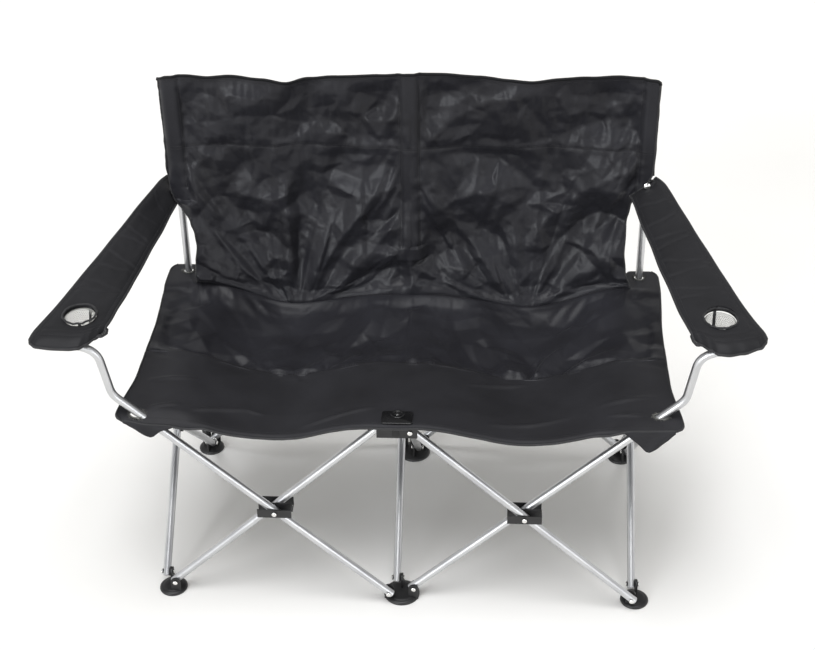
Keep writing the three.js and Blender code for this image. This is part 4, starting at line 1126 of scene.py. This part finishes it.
# The wavy top edge: its height, by place across
TOP_EDGE = [
    (-0.512, 0.938), (-0.496, 0.944), (-0.461, 0.945), (-0.414, 0.940), (-0.367, 0.945), (-0.302, 0.938),
    (-0.250, 0.929), (-0.205, 0.940), (-0.150, 0.945), (-0.057, 0.949), (0.003, 0.953), (0.064, 0.951),
    (0.144, 0.946), (0.204, 0.940), (0.250, 0.936), (0.304, 0.942), (0.364, 0.946), (0.419, 0.949),
    (0.463, 0.948), (0.496, 0.945), (0.512, 0.938),
]
BACK_HIGH_Y = REAR_Y - TUBE_R - 0.0003 - CLOTH / 2
BACK_LOW_Y = CREASE_Y + CLOTH / 2 + 0.0003
SEAM_Z = 0.783
SLEEVE_HALF = 0.020
LINING_R = TUBE_R + 0.0007
# Half sizes of the rolled hem along the top and of the tape down the sides
HEM, HEM_THICK = 0.0045, 0.0024
BACK_TAPE = (0.0024, 0.0019)
# The back's usual height, how far its bays belly rearwards, and how far it steps back beside the posts
BACK_TOP, BACK_BELLY, BACK_STEP = 0.940, 0.009, 0.0055
BACK_SQUASH = ((1, 0, 0), (0, REAR_Y, 0.7), BACK_KEEP)
# How high the crumple's facets, the gathers along the seams and the seams' grooves are
BROAD, LONG, SMALL, TINY = 0.0150, 0.0125, 0.0052, 0.0009
GATHER, GROOVE = 0.0034, 0.0022
BEFORE_BACK = -0.5
# Stitching across: how far it goes, and in what steps
SEWN_HALF, SEWN_STEP, SEWN_STEPS = 0.5, 0.004, 250
# How far stitching lies from the seam, the top edge and the sleeves' sides, and where the sleeves' ends
SEAM_SEWN, TOP_SEWN, SLEEVE_SEWN, SLEEVE_SEWN_TOP = 0.0028, 0.0105, 0.002, 0.925
# A sleeve's radius, how far it puckers and waves, how its top closes, and how it flares where it is sewn
SLEEVE_R, SLEEVE_PUCKER, SLEEVE_WAVE = 0.0102, 0.0009, 0.0004
SLEEVE_CLOSE, SLEEVE_FLARE = 0.008, 0.011
# Each sleeve's post and lower end
SLEEVES = (("left", -POST_X, 0.716), ("centre", 0, CENTRE_SLEEVE_LOW_Z), ("right", POST_X, 0.728))


def near_post(x):
    return min(abs(x), abs(x - POST_X), abs(x + POST_X))


def sleeve_low(x):
    return CENTRE_SLEEVE_LOW_Z if abs(x) < 0.1 else SLEEVE_LOW_Z


def fan(x, z):
    """Folds that fan up from the low middle of each bay, rearwards only."""
    middle = math.copysign(POST_X / 2, x)
    rise = z - (seat_z(middle, 1) - FAN_DROP)
    away = math.hypot(x - middle, rise)
    beside = min(abs(x), abs(abs(x) - POST_X))
    share = smooth(clamp01(away / FAN_START)) * smooth(clamp01(beside / FAN_EDGE))
    turn = FAN_FOLDS * math.atan2(x - middle, rise)
    wave = 0.5 * math.sin(turn) + 0.5 * math.asin(math.sin(turn)) * 2 / math.pi
    return FAN_DEPTH / 2 * share * (1 + wave)


def back_point(s, t):
    side = -1 if s < 0.5 else 1
    share = abs(2 * s - 1)
    height = mix(SEAT_REAR_Z, BACK_TOP, t)
    x = side * share * (POST_X + along(EDGE_OUT[side], height))
    z = mix(seat_z(x, 1) - 0.004, along(TOP_EDGE, x), t)
    drawn = smooth(clamp01((SLEEVE_LOW_Z - z) / (SLEEVE_LOW_Z - SEAT_REAR_Z)))
    loose = math.sin(math.pi * clamp01(0.12 + 0.8 * t))
    belly = BACK_BELLY * hang(x) * math.sin(math.pi * t)
    y = mix(BACK_HIGH_Y, BACK_LOW_Y, drawn) + belly + fan(x, z) * loose
    beside = smooth(clamp01((near_post(x) - 0.011) / 0.010)) * clamp01((z - sleeve_low(x) + 0.02) / 0.05)
    return Vector((x, y + BACK_STEP * beside, z))


def back_hold(p):
    if near_post(p.x) < SLEEVE_HALF and p.z > sleeve_low(p.x):
        return 1.0
    if p.z < seat_z(p.x, 1) + 0.012 or p.z > along(TOP_EDGE, p.x) - 0.012:
        return 1.0
    return 0.3 if abs(p.z - SEAM_Z) < 0.006 else 0.0


def slack_share(p):
    """How freely the back crumples: less on the sleeves, the seam, the top hem and the foot."""
    sleeve = smooth(clamp01((near_post(p.x) - 0.012) / 0.03)) if p.z > sleeve_low(p.x) - 0.03 else 1.0
    hem = clamp01((along(TOP_EDGE, p.x) - p.z - 0.006) / 0.035)
    foot = clamp01((p.z - seat_z(p.x, 1)) / 0.03)
    seam = clamp01(abs(p.z - SEAM_Z) / 0.02)
    side = clamp01((POST_X - abs(p.x) + 0.015) / 0.04)
    held = (0.18 + 0.82 * sleeve) * (0.2 + 0.8 * hem) * (0.06 + 0.94 * foot)
    return held * (0.45 + 0.55 * seam) * (0.35 + 0.65 * side)


def crumple_back(cloth):
    """Presses the crumple, the gathers along the seams and the seams' grooves into the fine mesh."""
    broad = {side: Facets(11 + side, 0.056, (-0.75, -0.05), (0.75, 0.45), 0.05) for side in (-1, 1)}
    long = {side: Facets(17 + side, 0.036, (-1.2, -0.05), (1.2, 0.40), 0.05) for side in (-1, 1)}
    small = Facets(23, 0.030, (-0.6, 0.4), (0.6, 1.0), 0.05)
    tiny = Facets(29, 0.013, (-0.6, 0.4), (0.6, 1.0), 0.08)
    for v in cloth.data.vertices:
        p = v.co.copy()
        side = -1 if p.x < 0 else 1
        middle = side * POST_X / 2
        rise = p.z - seat_z(middle, 1) + 0.05
        away = 0.3 + 0.7 * clamp01(math.hypot(p.x - middle, p.z - seat_z(middle, 1)) / 0.16)
        centre = 1.0 if p.z > CENTRE_SLEEVE_LOW_Z else smooth(clamp01(abs(p.x) / 0.03))
        u, w = fan_plane(p.x, rise, middle, 0.62)
        relief = BROAD * away * broad[side].at(u, w)
        u, w = fan_plane(p.x, rise, middle, 0.26)
        relief += LONG * away * long[side].at(u * 1.25, w)
        relief = relief * centre + SMALL * small.at(p.x, p.z) + TINY * tiny.at(p.x, p.z)
        beside = near_post(p.x) - SLEEVE_HALF
        sleeved = p.z > sleeve_low(p.x)
        gather = bell(p.z - SEAM_Z, 0.016) * noise.noise(Vector((p.x * 48, p.z * 14, 1)))
        gather += sleeved * bell(beside, 0.014) * noise.noise(Vector((p.x * 16, p.z * 42, 5)))
        sunk = bell(p.z - SEAM_Z, 0.0030) * (0.5 + 0.5 * noise.noise(Vector((p.x * 12, 2, 8))))
        groove = max(sleeved * bell(beside, 0.003), sunk)
        y = p.y + slack_share(p) * relief + GATHER * gather + GROOVE * groove
        v.co.y = min(y, BACK_HIGH_Y + 0.10 * smooth(clamp01((near_post(p.x) - 0.009) / 0.06)))


def add_back(looks):
    body = "rear_centre"
    cloth = grid("back_cloth", 186, 94, back_point, looks["back"])
    simulate(cloth, back_hold, frames=26, slack=0.012, cap=0.010, gravity=0.5)
    refine(cloth)
    crumple_back(cloth)
    sides, top = split_outline(outline_points(cloth), lambda p: p.z > along(TOP_EDGE, p.x) - 0.010)
    thicken(cloth, CRUMPLED_THICK)
    dress(cloth, body, BACK_SQUASH, ("back",))
    hem = [p - Vector((0, 0, HEM * 0.6)) for p in top]
    trims = [trim("back_hem", hem, (HEM, HEM_THICK), looks["hem"], body, BACK_SQUASH, 10)]
    trims.append(trim("back_binding", sides, BACK_TAPE, looks["tape"], body, BACK_SQUASH))
    surface = Surface(cloth, (0, 1, 0))
    across = [-SEWN_HALF + k * SEWN_STEP for k in range(SEWN_STEPS + 1)]
    lines = [[surface.at((x, BEFORE_BACK, SEAM_Z + dz)) for x in across] for dz in (-SEAM_SEWN, SEAM_SEWN)]
    lines.append([surface.at((x, BEFORE_BACK, along(TOP_EDGE, x) - TOP_SEWN)) for x in across])
    for x in (-POST_X + SLEEVE_HALF, -SLEEVE_HALF, SLEEVE_HALF, POST_X - SLEEVE_HALF):
        low = sleeve_low(x)
        count = int((SLEEVE_SEWN_TOP - low) / SEWN_STEP)
        for dx in (-SLEEVE_SEWN, SLEEVE_SEWN):
            lines.append([surface.at((x + dx, BEFORE_BACK, low + k * SEWN_STEP)) for k in range(count)])
    sewn = stitches("back_stitches", [[p for p in line if p] for line in lines], looks["thread"])
    trims.append(dress(sewn, body, BACK_SQUASH))
    for where, x, low in SLEEVES:
        trims += add_sleeve(where, x, low, looks)


def outline_points(obj):
    """The outer edge of a sheet, in order."""
    bm = bmesh.new()
    bm.from_mesh(obj.data)
    edge = next(e for e in bm.edges if e.is_boundary)
    first, v, points = edge.verts[0], edge.verts[1], [edge.verts[0].co.copy()]
    while v is not first:
        points.append(v.co.copy())
        edge = next(e for e in v.link_edges if e.is_boundary and e is not edge)
        v = edge.other_vert(v)
    bm.free()
    return points[::2]


def split_outline(points, test):
    """Cuts a closed outline into the run that fails a test and the run that passes it."""
    count = len(points)
    start = next(k for k in range(count) if test(points[k]) and not test(points[k - 1]))
    ring = points[start:] + points[:start]
    end = max(k for k in range(count) if test(ring[k]))
    return ring[end:] + ring[:1], ring[: end + 1]


def add_sleeve(where, x, low, looks):
    """A sleeve's rear, closed over the post's top and sewn to the cloth, and its lining round the post."""
    top = along(TOP_EDGE, x) - 0.003

    def point(s, t):
        a = mix(-1.15, 1.15, s) * math.pi / 2
        z = mix(low - 0.006 * math.cos(a * 0.8), top, 1 - (1 - t) ** 1.15)
        pucker = SLEEVE_PUCKER * noise.noise(Vector((a * 2.0, z * 60, 3 + x)))
        close = math.sqrt(clamp01((top + 0.0004 - z) / SLEEVE_CLOSE)) if z > top - SLEEVE_CLOSE else 1.0
        r = (SLEEVE_R + pucker + SLEEVE_WAVE * math.sin(z * 90)) * close
        flare = SLEEVE_FLARE * max(0.0, abs(a) - 1.35)
        y = REAR_Y + math.cos(a) * r - (1 - close) * SLEEVE_CLOSE
        return Vector((x + math.sin(a) * (r + flare), y, z))

    def lining_point(s, t):
        a = mix(-1, 1, s) * math.pi
        z = mix(low + 0.004, top - 0.006, t)
        return Vector((x + LINING_R * math.sin(a), REAR_Y + LINING_R * math.cos(a), z))

    body = "rear_centre" if where == "centre" else f"foot_rear_{where}"
    sleeve = grid(f"back_sleeve_{where}", 24, 80, point, looks["back"])
    lining = grid(f"back_lining_{where}", 28, 40, lining_point, looks["back"])
    thicken(sleeve, CRUMPLED_THICK)
    thicken(lining, LINING_THICK)
    return [dress(piece, body) for piece in (sleeve, lining)]


# Cloth: armrests and cup holders

# Each strip's rear end: y and x of its inner and its outer corner, and how far they are turned down and up
ARM_REAR_END = {
    -1: ((0.257, 0.290), (0.503, 0.528), (-0.050, 0.004)),
    1: ((0.2515, 0.284), (0.461, 0.524), (-0.012, 0.014)),
}
# Each strip's front edge: how far it is set back, from its inner to its outer corner
ARM_NOSE = {
    -1: (
        (0, 0.058), (0.10, 0.037), (0.185, 0.017), (0.27, 0.003), (0.40, 0), (0.85, 0.001), (0.95, 0.008),
        (1, 0.018),
    ),
    1: (
        (0, 0.046), (0.09, 0.034), (0.21, 0.017), (0.30, 0.003), (0.42, 0.001), (0.62, 0.008), (0.86, 0.021),
        (0.95, 0.034), (1, 0.048),
    ),
}
# Wrinkles across the strips: how far along they lie, and how they slant
ARM_WRINKLES = [
    (0.30, 0.30), (0.335, -0.20), (0.44, 0.25), (0.50, -0.35), (0.62, 0.30), (0.66, -0.15), (0.76, 0.35),
    (0.87, -0.3),
]
ARM_SEAMS, ARM_FRONT_SEAM = (0.085, 0.915), 0.045
# How far a strip's outer front corner spreads and is rounded, its rear one is blunted, and its edges sway
ARM_SPREAD, ARM_CORNER, ARM_BLUNT, ARM_SWAY = 0.006, 0.004, 0.010, 0.0016
# Half a pad's thickness at its edge, what its crown adds to it, and what its seams take off
PAD_EDGE, PAD_CROWN, PAD_SEAM = 0.0016, 0.0042, 0.0012
# A wrinkle's depth, the ridge beside it, and its width as a share of the strip's length
WRINKLE_DEEP, WRINKLE_RIDGE, WRINKLE_WIDE = 0.0010, 0.0005, 0.0085
# How far the front edge hangs down, and how much less at its outer corner
ARM_LIP, ARM_LIP_LESS = 0.009, 0.005
# Half sizes of the tapes round the pad and the cup's rim, of the webbing loop and of the strap
ARM_TAPE, CUP_TAPE, WEBBING, STRAP = (0.0028, 0.0026), (0.0018, 0.0022), (0.0050, 0.0018), (0.0030, 0.0006)
# The net's yarn, the pad's gap round the cup, and how far above the pad's middle the cup's depth starts
YARN, CUP_GAP, CUP_RIM_UP = 0.00075, 0.0015, 0.0035
# The loop round each post and the snap on the right one: (radius, height)
LOOP = [(0.0086, 0.654), (0.0100, 0.6545), (0.0104, 0.682), (0.0100, 0.7125), (0.0086, 0.713)]
SNAP = [
    (0.0066, -0.0004), (0.0068, 0.0006), (0.0060, 0.0012), (0.0036, 0.0010), (0.0030, 0.0018),
    (0.0012, 0.0022), (0.0003, 0.0022),
]


def arm_front_y(side):
    return FRONT_Y + side * LAYER - ARM_FRONT_OUT


def arm_spot(side, s, t):
    """The middle of the pad: s from its inner to its outer edge, t from its front to its rear end."""
    front = arm_front_y(side)
    ends, turn, roll = ARM_REAR_END[side]
    y = mix(front, mix(*ends, s), t)
    inner = mix(OUTER_X + ARM_FRONT_INNER, turn[0], t ** 0.92)
    outer = mix(OUTER_X + ARM_FRONT_OUTER, turn[1], t) + ARM_SPREAD * (1 - t) ** 8
    nose = along(ARM_NOSE[side], s) * (1 - t) ** 6
    corner = ARM_CORNER * (clamp01((s - 0.85) / 0.15) ** 2) * clamp01(1 - t * 12) ** 2
    blunt = ARM_BLUNT * clamp01((s - 0.5) / 0.5) ** 2 * clamp01((t - 0.94) / 0.06) ** 2
    sway = ARM_SWAY * noise.noise(Vector((t * 7, 3.0 * s, 5 + side)))
    x = mix(inner, outer, s) - corner - blunt + sway
    z = mix(ARM_FRONT_Z, ARM_REAR_Z + mix(*roll, s), t)
    return Vector((side * x, y + nose + corner, z))


def cup_centre(side):
    y = arm_front_y(side) + CUP_IN
    t = CUP_IN / (ARM_REAR_Y - arm_front_y(side))
    x = side * (OUTER_X + CUP_OUT) - side * 0.002
    return Vector((x, y + 0.004 * (side > 0), mix(ARM_FRONT_Z, ARM_REAR_Z, t)))


def arm_height(side, s, t):
    """Half the thickness of the pad: crowned between its bound edges, with wrinkles across it."""
    edge = min(s, 1 - s) * 2
    round_off = math.sqrt(clamp01(edge * 2.6)) * math.sqrt(clamp01(t * 22)) * math.sqrt(clamp01((1 - t) * 16))
    dent = 0.0
    for k, (at, slope) in enumerate(ARM_WRINKLES):
        wobble = 0.010 * noise.noise(Vector((s * 3, k * 2.3, side)))
        away = (t - at - slope * side * (s - 0.5) * 0.12 - wobble) / WRINKLE_WIDE
        dent += WRINKLE_DEEP * math.exp(-away * away) - WRINKLE_RIDGE * math.exp(-((away - 2.1) ** 2))
    pocket = 0.0014 * bell(t - 0.043, 0.008) + 0.0009 * bell(t - 0.075, 0.006)
    seam = PAD_SEAM * bell(min(s, 1 - s) - ARM_SEAMS[0], 0.022)
    soft = 0.0007 * noise.noise(Vector((s * 5, t * 24, 2.0 + side)))
    return PAD_EDGE + PAD_CROWN * round_off - (dent + pocket + seam - soft) * clamp01(edge * 4)


def arm_lip(s, t):
    """How far the front edge hangs down over the end of the tube, least at the outer corner."""
    return (ARM_LIP - ARM_LIP_LESS * smooth(clamp01((s - 0.6) / 0.4))) * clamp01(1 - t * 22) ** 1.5


def pad_point(side, s, t, up, lift=0.0):
    """A place on the pad's upper side (up is 1), in its middle (0) or on its underside (-1)."""
    p = arm_spot(side, s, t)
    p.z += up * arm_height(side, s, t) - arm_lip(s, t) + lift
    return p


def pad_mesh(side, columns, rows):
    """Vertices and faces of the closed pad: both its sides and the walls round them."""
    grid_at = [(i / columns, j / rows) for j in range(rows + 1) for i in range(columns + 1)]
    verts = [pad_point(side, s, t, up) for up in (1, -1) for s, t in grid_at]
    count = len(grid_at)
    top = lambda i, j: j * (columns + 1) + i
    low = lambda i, j: count + top(i, j)
    faces = []
    for j in range(rows):
        for i in range(columns):
            faces.append((top(i, j), top(i + 1, j), top(i + 1, j + 1), top(i, j + 1)))
            faces.append((low(i, j), low(i, j + 1), low(i + 1, j + 1), low(i + 1, j)))
    for i in range(columns):
        faces.append((low(i, 0), low(i + 1, 0), top(i + 1, 0), top(i, 0)))
        faces.append((top(i, rows), top(i + 1, rows), low(i + 1, rows), low(i, rows)))
    for j in range(rows):
        faces.append((top(0, j), top(0, j + 1), low(0, j + 1), low(0, j)))
        faces.append((low(columns, j), low(columns, j + 1), top(columns, j + 1), top(columns, j)))
    return verts, faces


def add_armrest(where, side, looks):
    body = f"armrest_{where}"
    squash = (ARM_WAY[where], (side * POST_X, REAR_Y - 0.011, ARM_REAR_Z), ARM_KEEP)
    pad = face_out(joined(f"armrest_pad_{where}", [pad_mesh(side, 40, 170)], looks["arm"]))
    centre = cup_centre(side)
    cutter = oval_cutter(centre, CUP_W / 2 + CUP_GAP, CUP_L / 2 + CUP_GAP)
    cut = pad.modifiers.new("cup", "BOOLEAN")
    cut.operation, cut.solver, cut.object = "DIFFERENCE", "EXACT", cutter
    bake(pad)
    bpy.data.objects.remove(cutter)
    pad.data.materials.clear()
    pad.data.materials.append(looks["arm"])
    pad.data.polygons.foreach_set("use_smooth", [True] * len(pad.data.polygons))
    keep_sharp(pad, 50)
    dress(pad, body, squash, (f"armrest_{where}",))
    spots = [(k / 60, 0.0) for k in range(60)] + [(1.0, k / 80) for k in range(80)]
    spots += [(1 - k / 20, 1.0) for k in range(20)] + [(0.0, 1 - k / 80) for k in range(80)]
    rim = [pad_point(side, s, t, 0) for s, t in spots]
    trim(f"armrest_binding_{where}", rim, ARM_TAPE, looks["tape"], body, squash, closed=True)
    lines = [[(s, 0.03 + 0.94 * k / 140) for k in range(141)] for s in ARM_SEAMS]
    lines.append([(0.08 + 0.84 * k / 40, ARM_FRONT_SEAM) for k in range(41)])
    lines = [[pad_point(side, s, t, 1, 0.0002) for s, t in line] for line in lines]
    dress(stitches(f"armrest_stitches_{where}", lines, looks["thread"]), body, squash)
    add_cup(where, side, centre, body, squash, looks)
    add_front_loop(where, side, body, squash, looks)


def add_front_loop(where, side, body, squash, looks):
    """A small webbing loop with pale stitching at the inner front of the pad."""
    under = Vector((0, 0, -0.006 if side < 0 else -0.009))
    base = arm_spot(side, 0.06, 0.075) + under
    tip = arm_spot(side, 0.06, 0.004) + under
    out = Vector((-side * (0.009 if side < 0 else 0.003), -0.004, -0.001))
    path = [base, base + out * 0.55, base.lerp(tip, 0.5) + out, tip + out * 0.6]
    path.append(tip + Vector((side * 0.004, 0, 0)))
    smooth_path = []
    for k in range(25):
        u = k / 24 * (len(path) - 1)
        i = min(int(u), len(path) - 2)
        smooth_path.append(path[i].lerp(path[i + 1], smooth(u - i)))
    trim(f"armrest_loop_{where}", smooth_path, WEBBING, looks["tape"], body, squash)
    line = [p + out.normalized() * 0.0005 + Vector((0, 0, 0.0022)) for p in smooth_path[5:20]]
    sewn = stitches(f"armrest_loop_stitch_{where}", [line], looks["fray"], 0.004, 0.0026, 0.0007)
    dress(sewn, body, squash)


def oval_cutter(centre, half_x, half_y):
    verts, faces = lathe_mesh([(1.0, -0.03), (1.0, 0.03)], (0, 0, 0), (0, 0, 1), 48)
    verts = [Vector((v.x * half_x, v.y * half_y, v.z)) + centre for v in verts]
    return face_out(new_object("cup_cutter", verts, faces, bpy.data.materials[0]))


def add_cup(where, side, centre, body, squash, looks):
    """An open knitted net below the oval opening, its bound rim and the strap under it."""
    around, down = 48, 14
    verts, faces = [], []
    rim_z = centre.z + CUP_RIM_UP
    for j in range(down + 1):
        t = j / down
        depth = 0.006 + (CUP_DEEP - 0.010) * math.sin(t * math.pi / 2) ** 1.3
        share = max(math.cos(t * math.pi / 2) ** 0.55 if j < down else 0.0, 0.06)
        for i in range(around):
            a = 2 * math.pi * (i + 0.5 * (j % 2)) / around
            sway = 1 + 0.03 * noise.noise(Vector((3 * math.cos(a), 3 * math.sin(a), t * 4 + side)))
            x = (CUP_W / 2 - 0.001) * share * sway * math.cos(a)
            y = (CUP_L / 2 - 0.001) * share * sway * math.sin(a)
            verts.append((centre.x + x, centre.y + y, rim_z - depth))
    for j in range(down):
        shift = j % 2
        for i in range(around):
            a, b = j * around + i, j * around + (i + 1) % around
            c, d = (j + 1) * around + (i + shift) % around, (j + 1) * around + (i + shift + 1) % around
            faces += [(a, b, c), (b, d, c)]
    net = new_object(f"cup_net_{where}", verts, faces, looks["net"])
    wire = net.modifiers.new("yarn", "WIREFRAME")
    wire.thickness = YARN
    wire.use_replace = True
    wire.use_boundary = True
    bake(net)
    dress(net, body, squash, (f"cup_holder_{where}",))
    ring = []
    for a in circle(72):
        wide = 1.05 + 0.06 * noise.noise(Vector((4 * math.cos(a), 4 * math.sin(a), 9 + side)))
        lift = 0.0012 * noise.noise(Vector((6 * math.cos(a), 6 * math.sin(a), 2 + side)))
        x, y = CUP_W / 2 * wide * math.cos(a), CUP_L / 2 * wide * math.sin(a)
        ring.append(centre + Vector((x, y, 0.0048 + lift)))
    trim(f"cup_rim_{where}", ring, CUP_TAPE, looks["tape"], body, squash, closed=True)
    verts = []
    wide, thick = STRAP
    for k in range(25):
        u = mix(-1, 1, k / 24)
        z = rim_z - 0.002 - (CUP_DEEP - 0.002) * (1 - abs(u) ** 2.6)
        p = Vector((centre.x - side * 0.010 + 0.003 * u, centre.y + u * (CUP_L / 2 - 0.002), z))
        for dx, dz in ((-wide, -thick), (wide, -thick), (wide, thick), (-wide, thick)):
            verts.append(p + Vector((dx, 0, dz - 0.0012)))
    web = face_out(new_object(f"cup_strap_{where}", verts, ring_faces(25, 4), looks["tape"], False))
    dress(web, body, squash)


def add_arm_loops(looks):
    """The loop that holds the rear end of each armrest to its post, and the right one's snap."""
    sides = 40
    for where, side in SIDES:
        x, body = side * POST_X, f"foot_rear_{where}"
        verts = []
        for r, z in LOOP:
            for a in circle(sides):
                reach = r * (1.0 + max(0.0, side * math.cos(a)) ** 4 * (r > 0.009))
                wave = 0.0012 * math.sin(3 * a)
                verts.append((x + reach * math.cos(a), REAR_Y + reach * math.sin(a), z + wave))
        faces = ring_faces(len(LOOP), sides, closed=True)
        dress(face_out(new_object(f"arm_loop_{where}", verts, faces, looks["arm"])), body)
        if side > 0:
            place = (x + side * 0.001, REAR_Y - 0.0118, 0.708)
            dress(lathe(f"arm_snap_{where}", SNAP, place, (0, -1, 0.2), 24, looks["rivet"]), body)


# Plain parts of the frame that keep their solids


def finish_nodes(looks):
    slots = {row["node"]: row["material_slot"] for row in frame["record"]["subparts"]}
    for node, obj in frame["nodes"].items():
        look = {"tube": "tube", "plastic": "plastic", "rivet": "rivet", "net": "net"}.get(slots[node], "flat")
        obj.data.materials.clear()
        obj.data.materials.append(looks[look])
        obj.data.polygons.foreach_set("use_smooth", [True] * len(obj.data.polygons))
        keep_sharp(obj, 32)


# Floor, world and lamps

FLOOR_HALF = 30.0
# The plain light's level and colour
AMBIENT, WARM = 0.20, (1, 0.94, 0.82, 1)
# What the white room sends to the camera and into gloss: full near the horizon, less overhead
ROOM = (("From Min", 0.12), ("From Max", 0.60), ("To Min", 1.0), ("To Max", 0.30))
# Where each lamp stands seen from the chair, its level, its width in degrees and its colour
LAMPS = [
    ("overhead", (-0.06, -0.20, 0.97), 2.60, 45, (0.985, 0.99, 1.0)),
    ("left", (-0.50, -0.83, 0.27), 1.40, 24, (0.94, 0.97, 1.0)),
    ("right", (0.62, -0.74, 0.25), 0.45, 24, (0.95, 0.975, 1.0)),
]


def add_stage():
    n = Nodes("paper_floor")
    n.set(Specular_IOR_Level=0.1, Emission_Color=(1, 1, 1, 1))
    colour = n.ramp(n.noise(2.0, 3), (0.88, 0.875, 0.86), (0.91, 0.905, 0.895), (0.3, 0.7))
    n.link(n.maths("MULTIPLY", seen_directly(n.tree), 0.08), n.shader.inputs["Emission Strength"])
    n.done(colour, n.span(n.noise(40, 3), 0.7, 0.9))
    corners = [(x * FLOOR_HALF, y * FLOOR_HALF, 0) for x, y in ((-1, -1), (1, -1), (1, 1), (-1, 1))]
    floor = new_object("floor", corners, [(0, 1, 2, 3)], n.material)
    add_world()
    for values in LAMPS:
        lamp(*values)


def add_world():
    """A white room for the camera and for gloss, and a dim warm one for plain light."""
    world = bpy.data.worlds.new("studio")
    bpy.context.scene.world = world
    world.use_nodes = True
    tree = world.node_tree
    back = tree.nodes["Background"]
    split = tree.nodes.new("ShaderNodeSeparateXYZ")
    tree.links.new(tree.nodes.new("ShaderNodeTexCoord").outputs["Generated"], split.inputs["Vector"])
    shade = tree.nodes.new("ShaderNodeMapRange")
    for socket, value in ROOM:
        shade.inputs[socket].default_value = value
    tree.links.new(split.outputs["Z"], shade.inputs["Value"])
    level = tree.nodes.new("ShaderNodeMapRange")
    level.inputs["To Min"].default_value = AMBIENT
    tree.links.new(seen_directly(tree), level.inputs["Value"])
    tree.links.new(shade.outputs["Result"], level.inputs["To Max"])
    tree.links.new(level.outputs["Result"], back.inputs["Strength"])
    tint = tree.nodes.new("ShaderNodeMix")
    tint.data_type = "RGBA"
    tint.inputs["A"].default_value = WARM
    tint.inputs["B"].default_value = (1, 1, 1, 1)
    tree.links.new(seen_directly(tree), tint.inputs["Factor"])
    tree.links.new(tint.outputs["Result"], back.inputs["Color"])


def seen_directly(tree):
    """1 for rays from the camera or off gloss or through glass, 0 for plain light."""
    path = tree.nodes.new("ShaderNodeLightPath")
    result = path.outputs["Is Camera Ray"]
    for ray in ("Is Glossy Ray", "Is Transmission Ray"):
        most = tree.nodes.new("ShaderNodeMath")
        most.operation = "MAXIMUM"
        tree.links.new(result, most.inputs[0])
        tree.links.new(path.outputs[ray], most.inputs[1])
        result = most.outputs["Value"]
    return result


def lamp(name, way, level, width, colour):
    data = bpy.data.lights.new(name, "SUN")
    data.energy = level
    data.angle = math.radians(width)
    data.color = colour
    obj = bpy.data.objects.new(name, data)
    bpy.context.collection.objects.link(obj)
    obj.location = Vector(way) * 4
    obj.rotation_euler = (-Vector(way)).to_track_quat("-Z", "Y").to_euler()


def build():
    bpy.context.scene.view_settings.view_transform = "Standard"
    add_camera()
    looks = make_materials()
    finish_nodes(looks)
    add_stage()
    add_tubes(looks)
    add_rivets(looks)
    add_foot_skirts(looks)
    add_hub_detail(looks)
    add_back(looks)
    add_seat_front(looks)
    add_seat_rear(looks)
    for where, side in SIDES:
        add_armrest(where, side, looks)
    add_arm_loops(looks)


build()
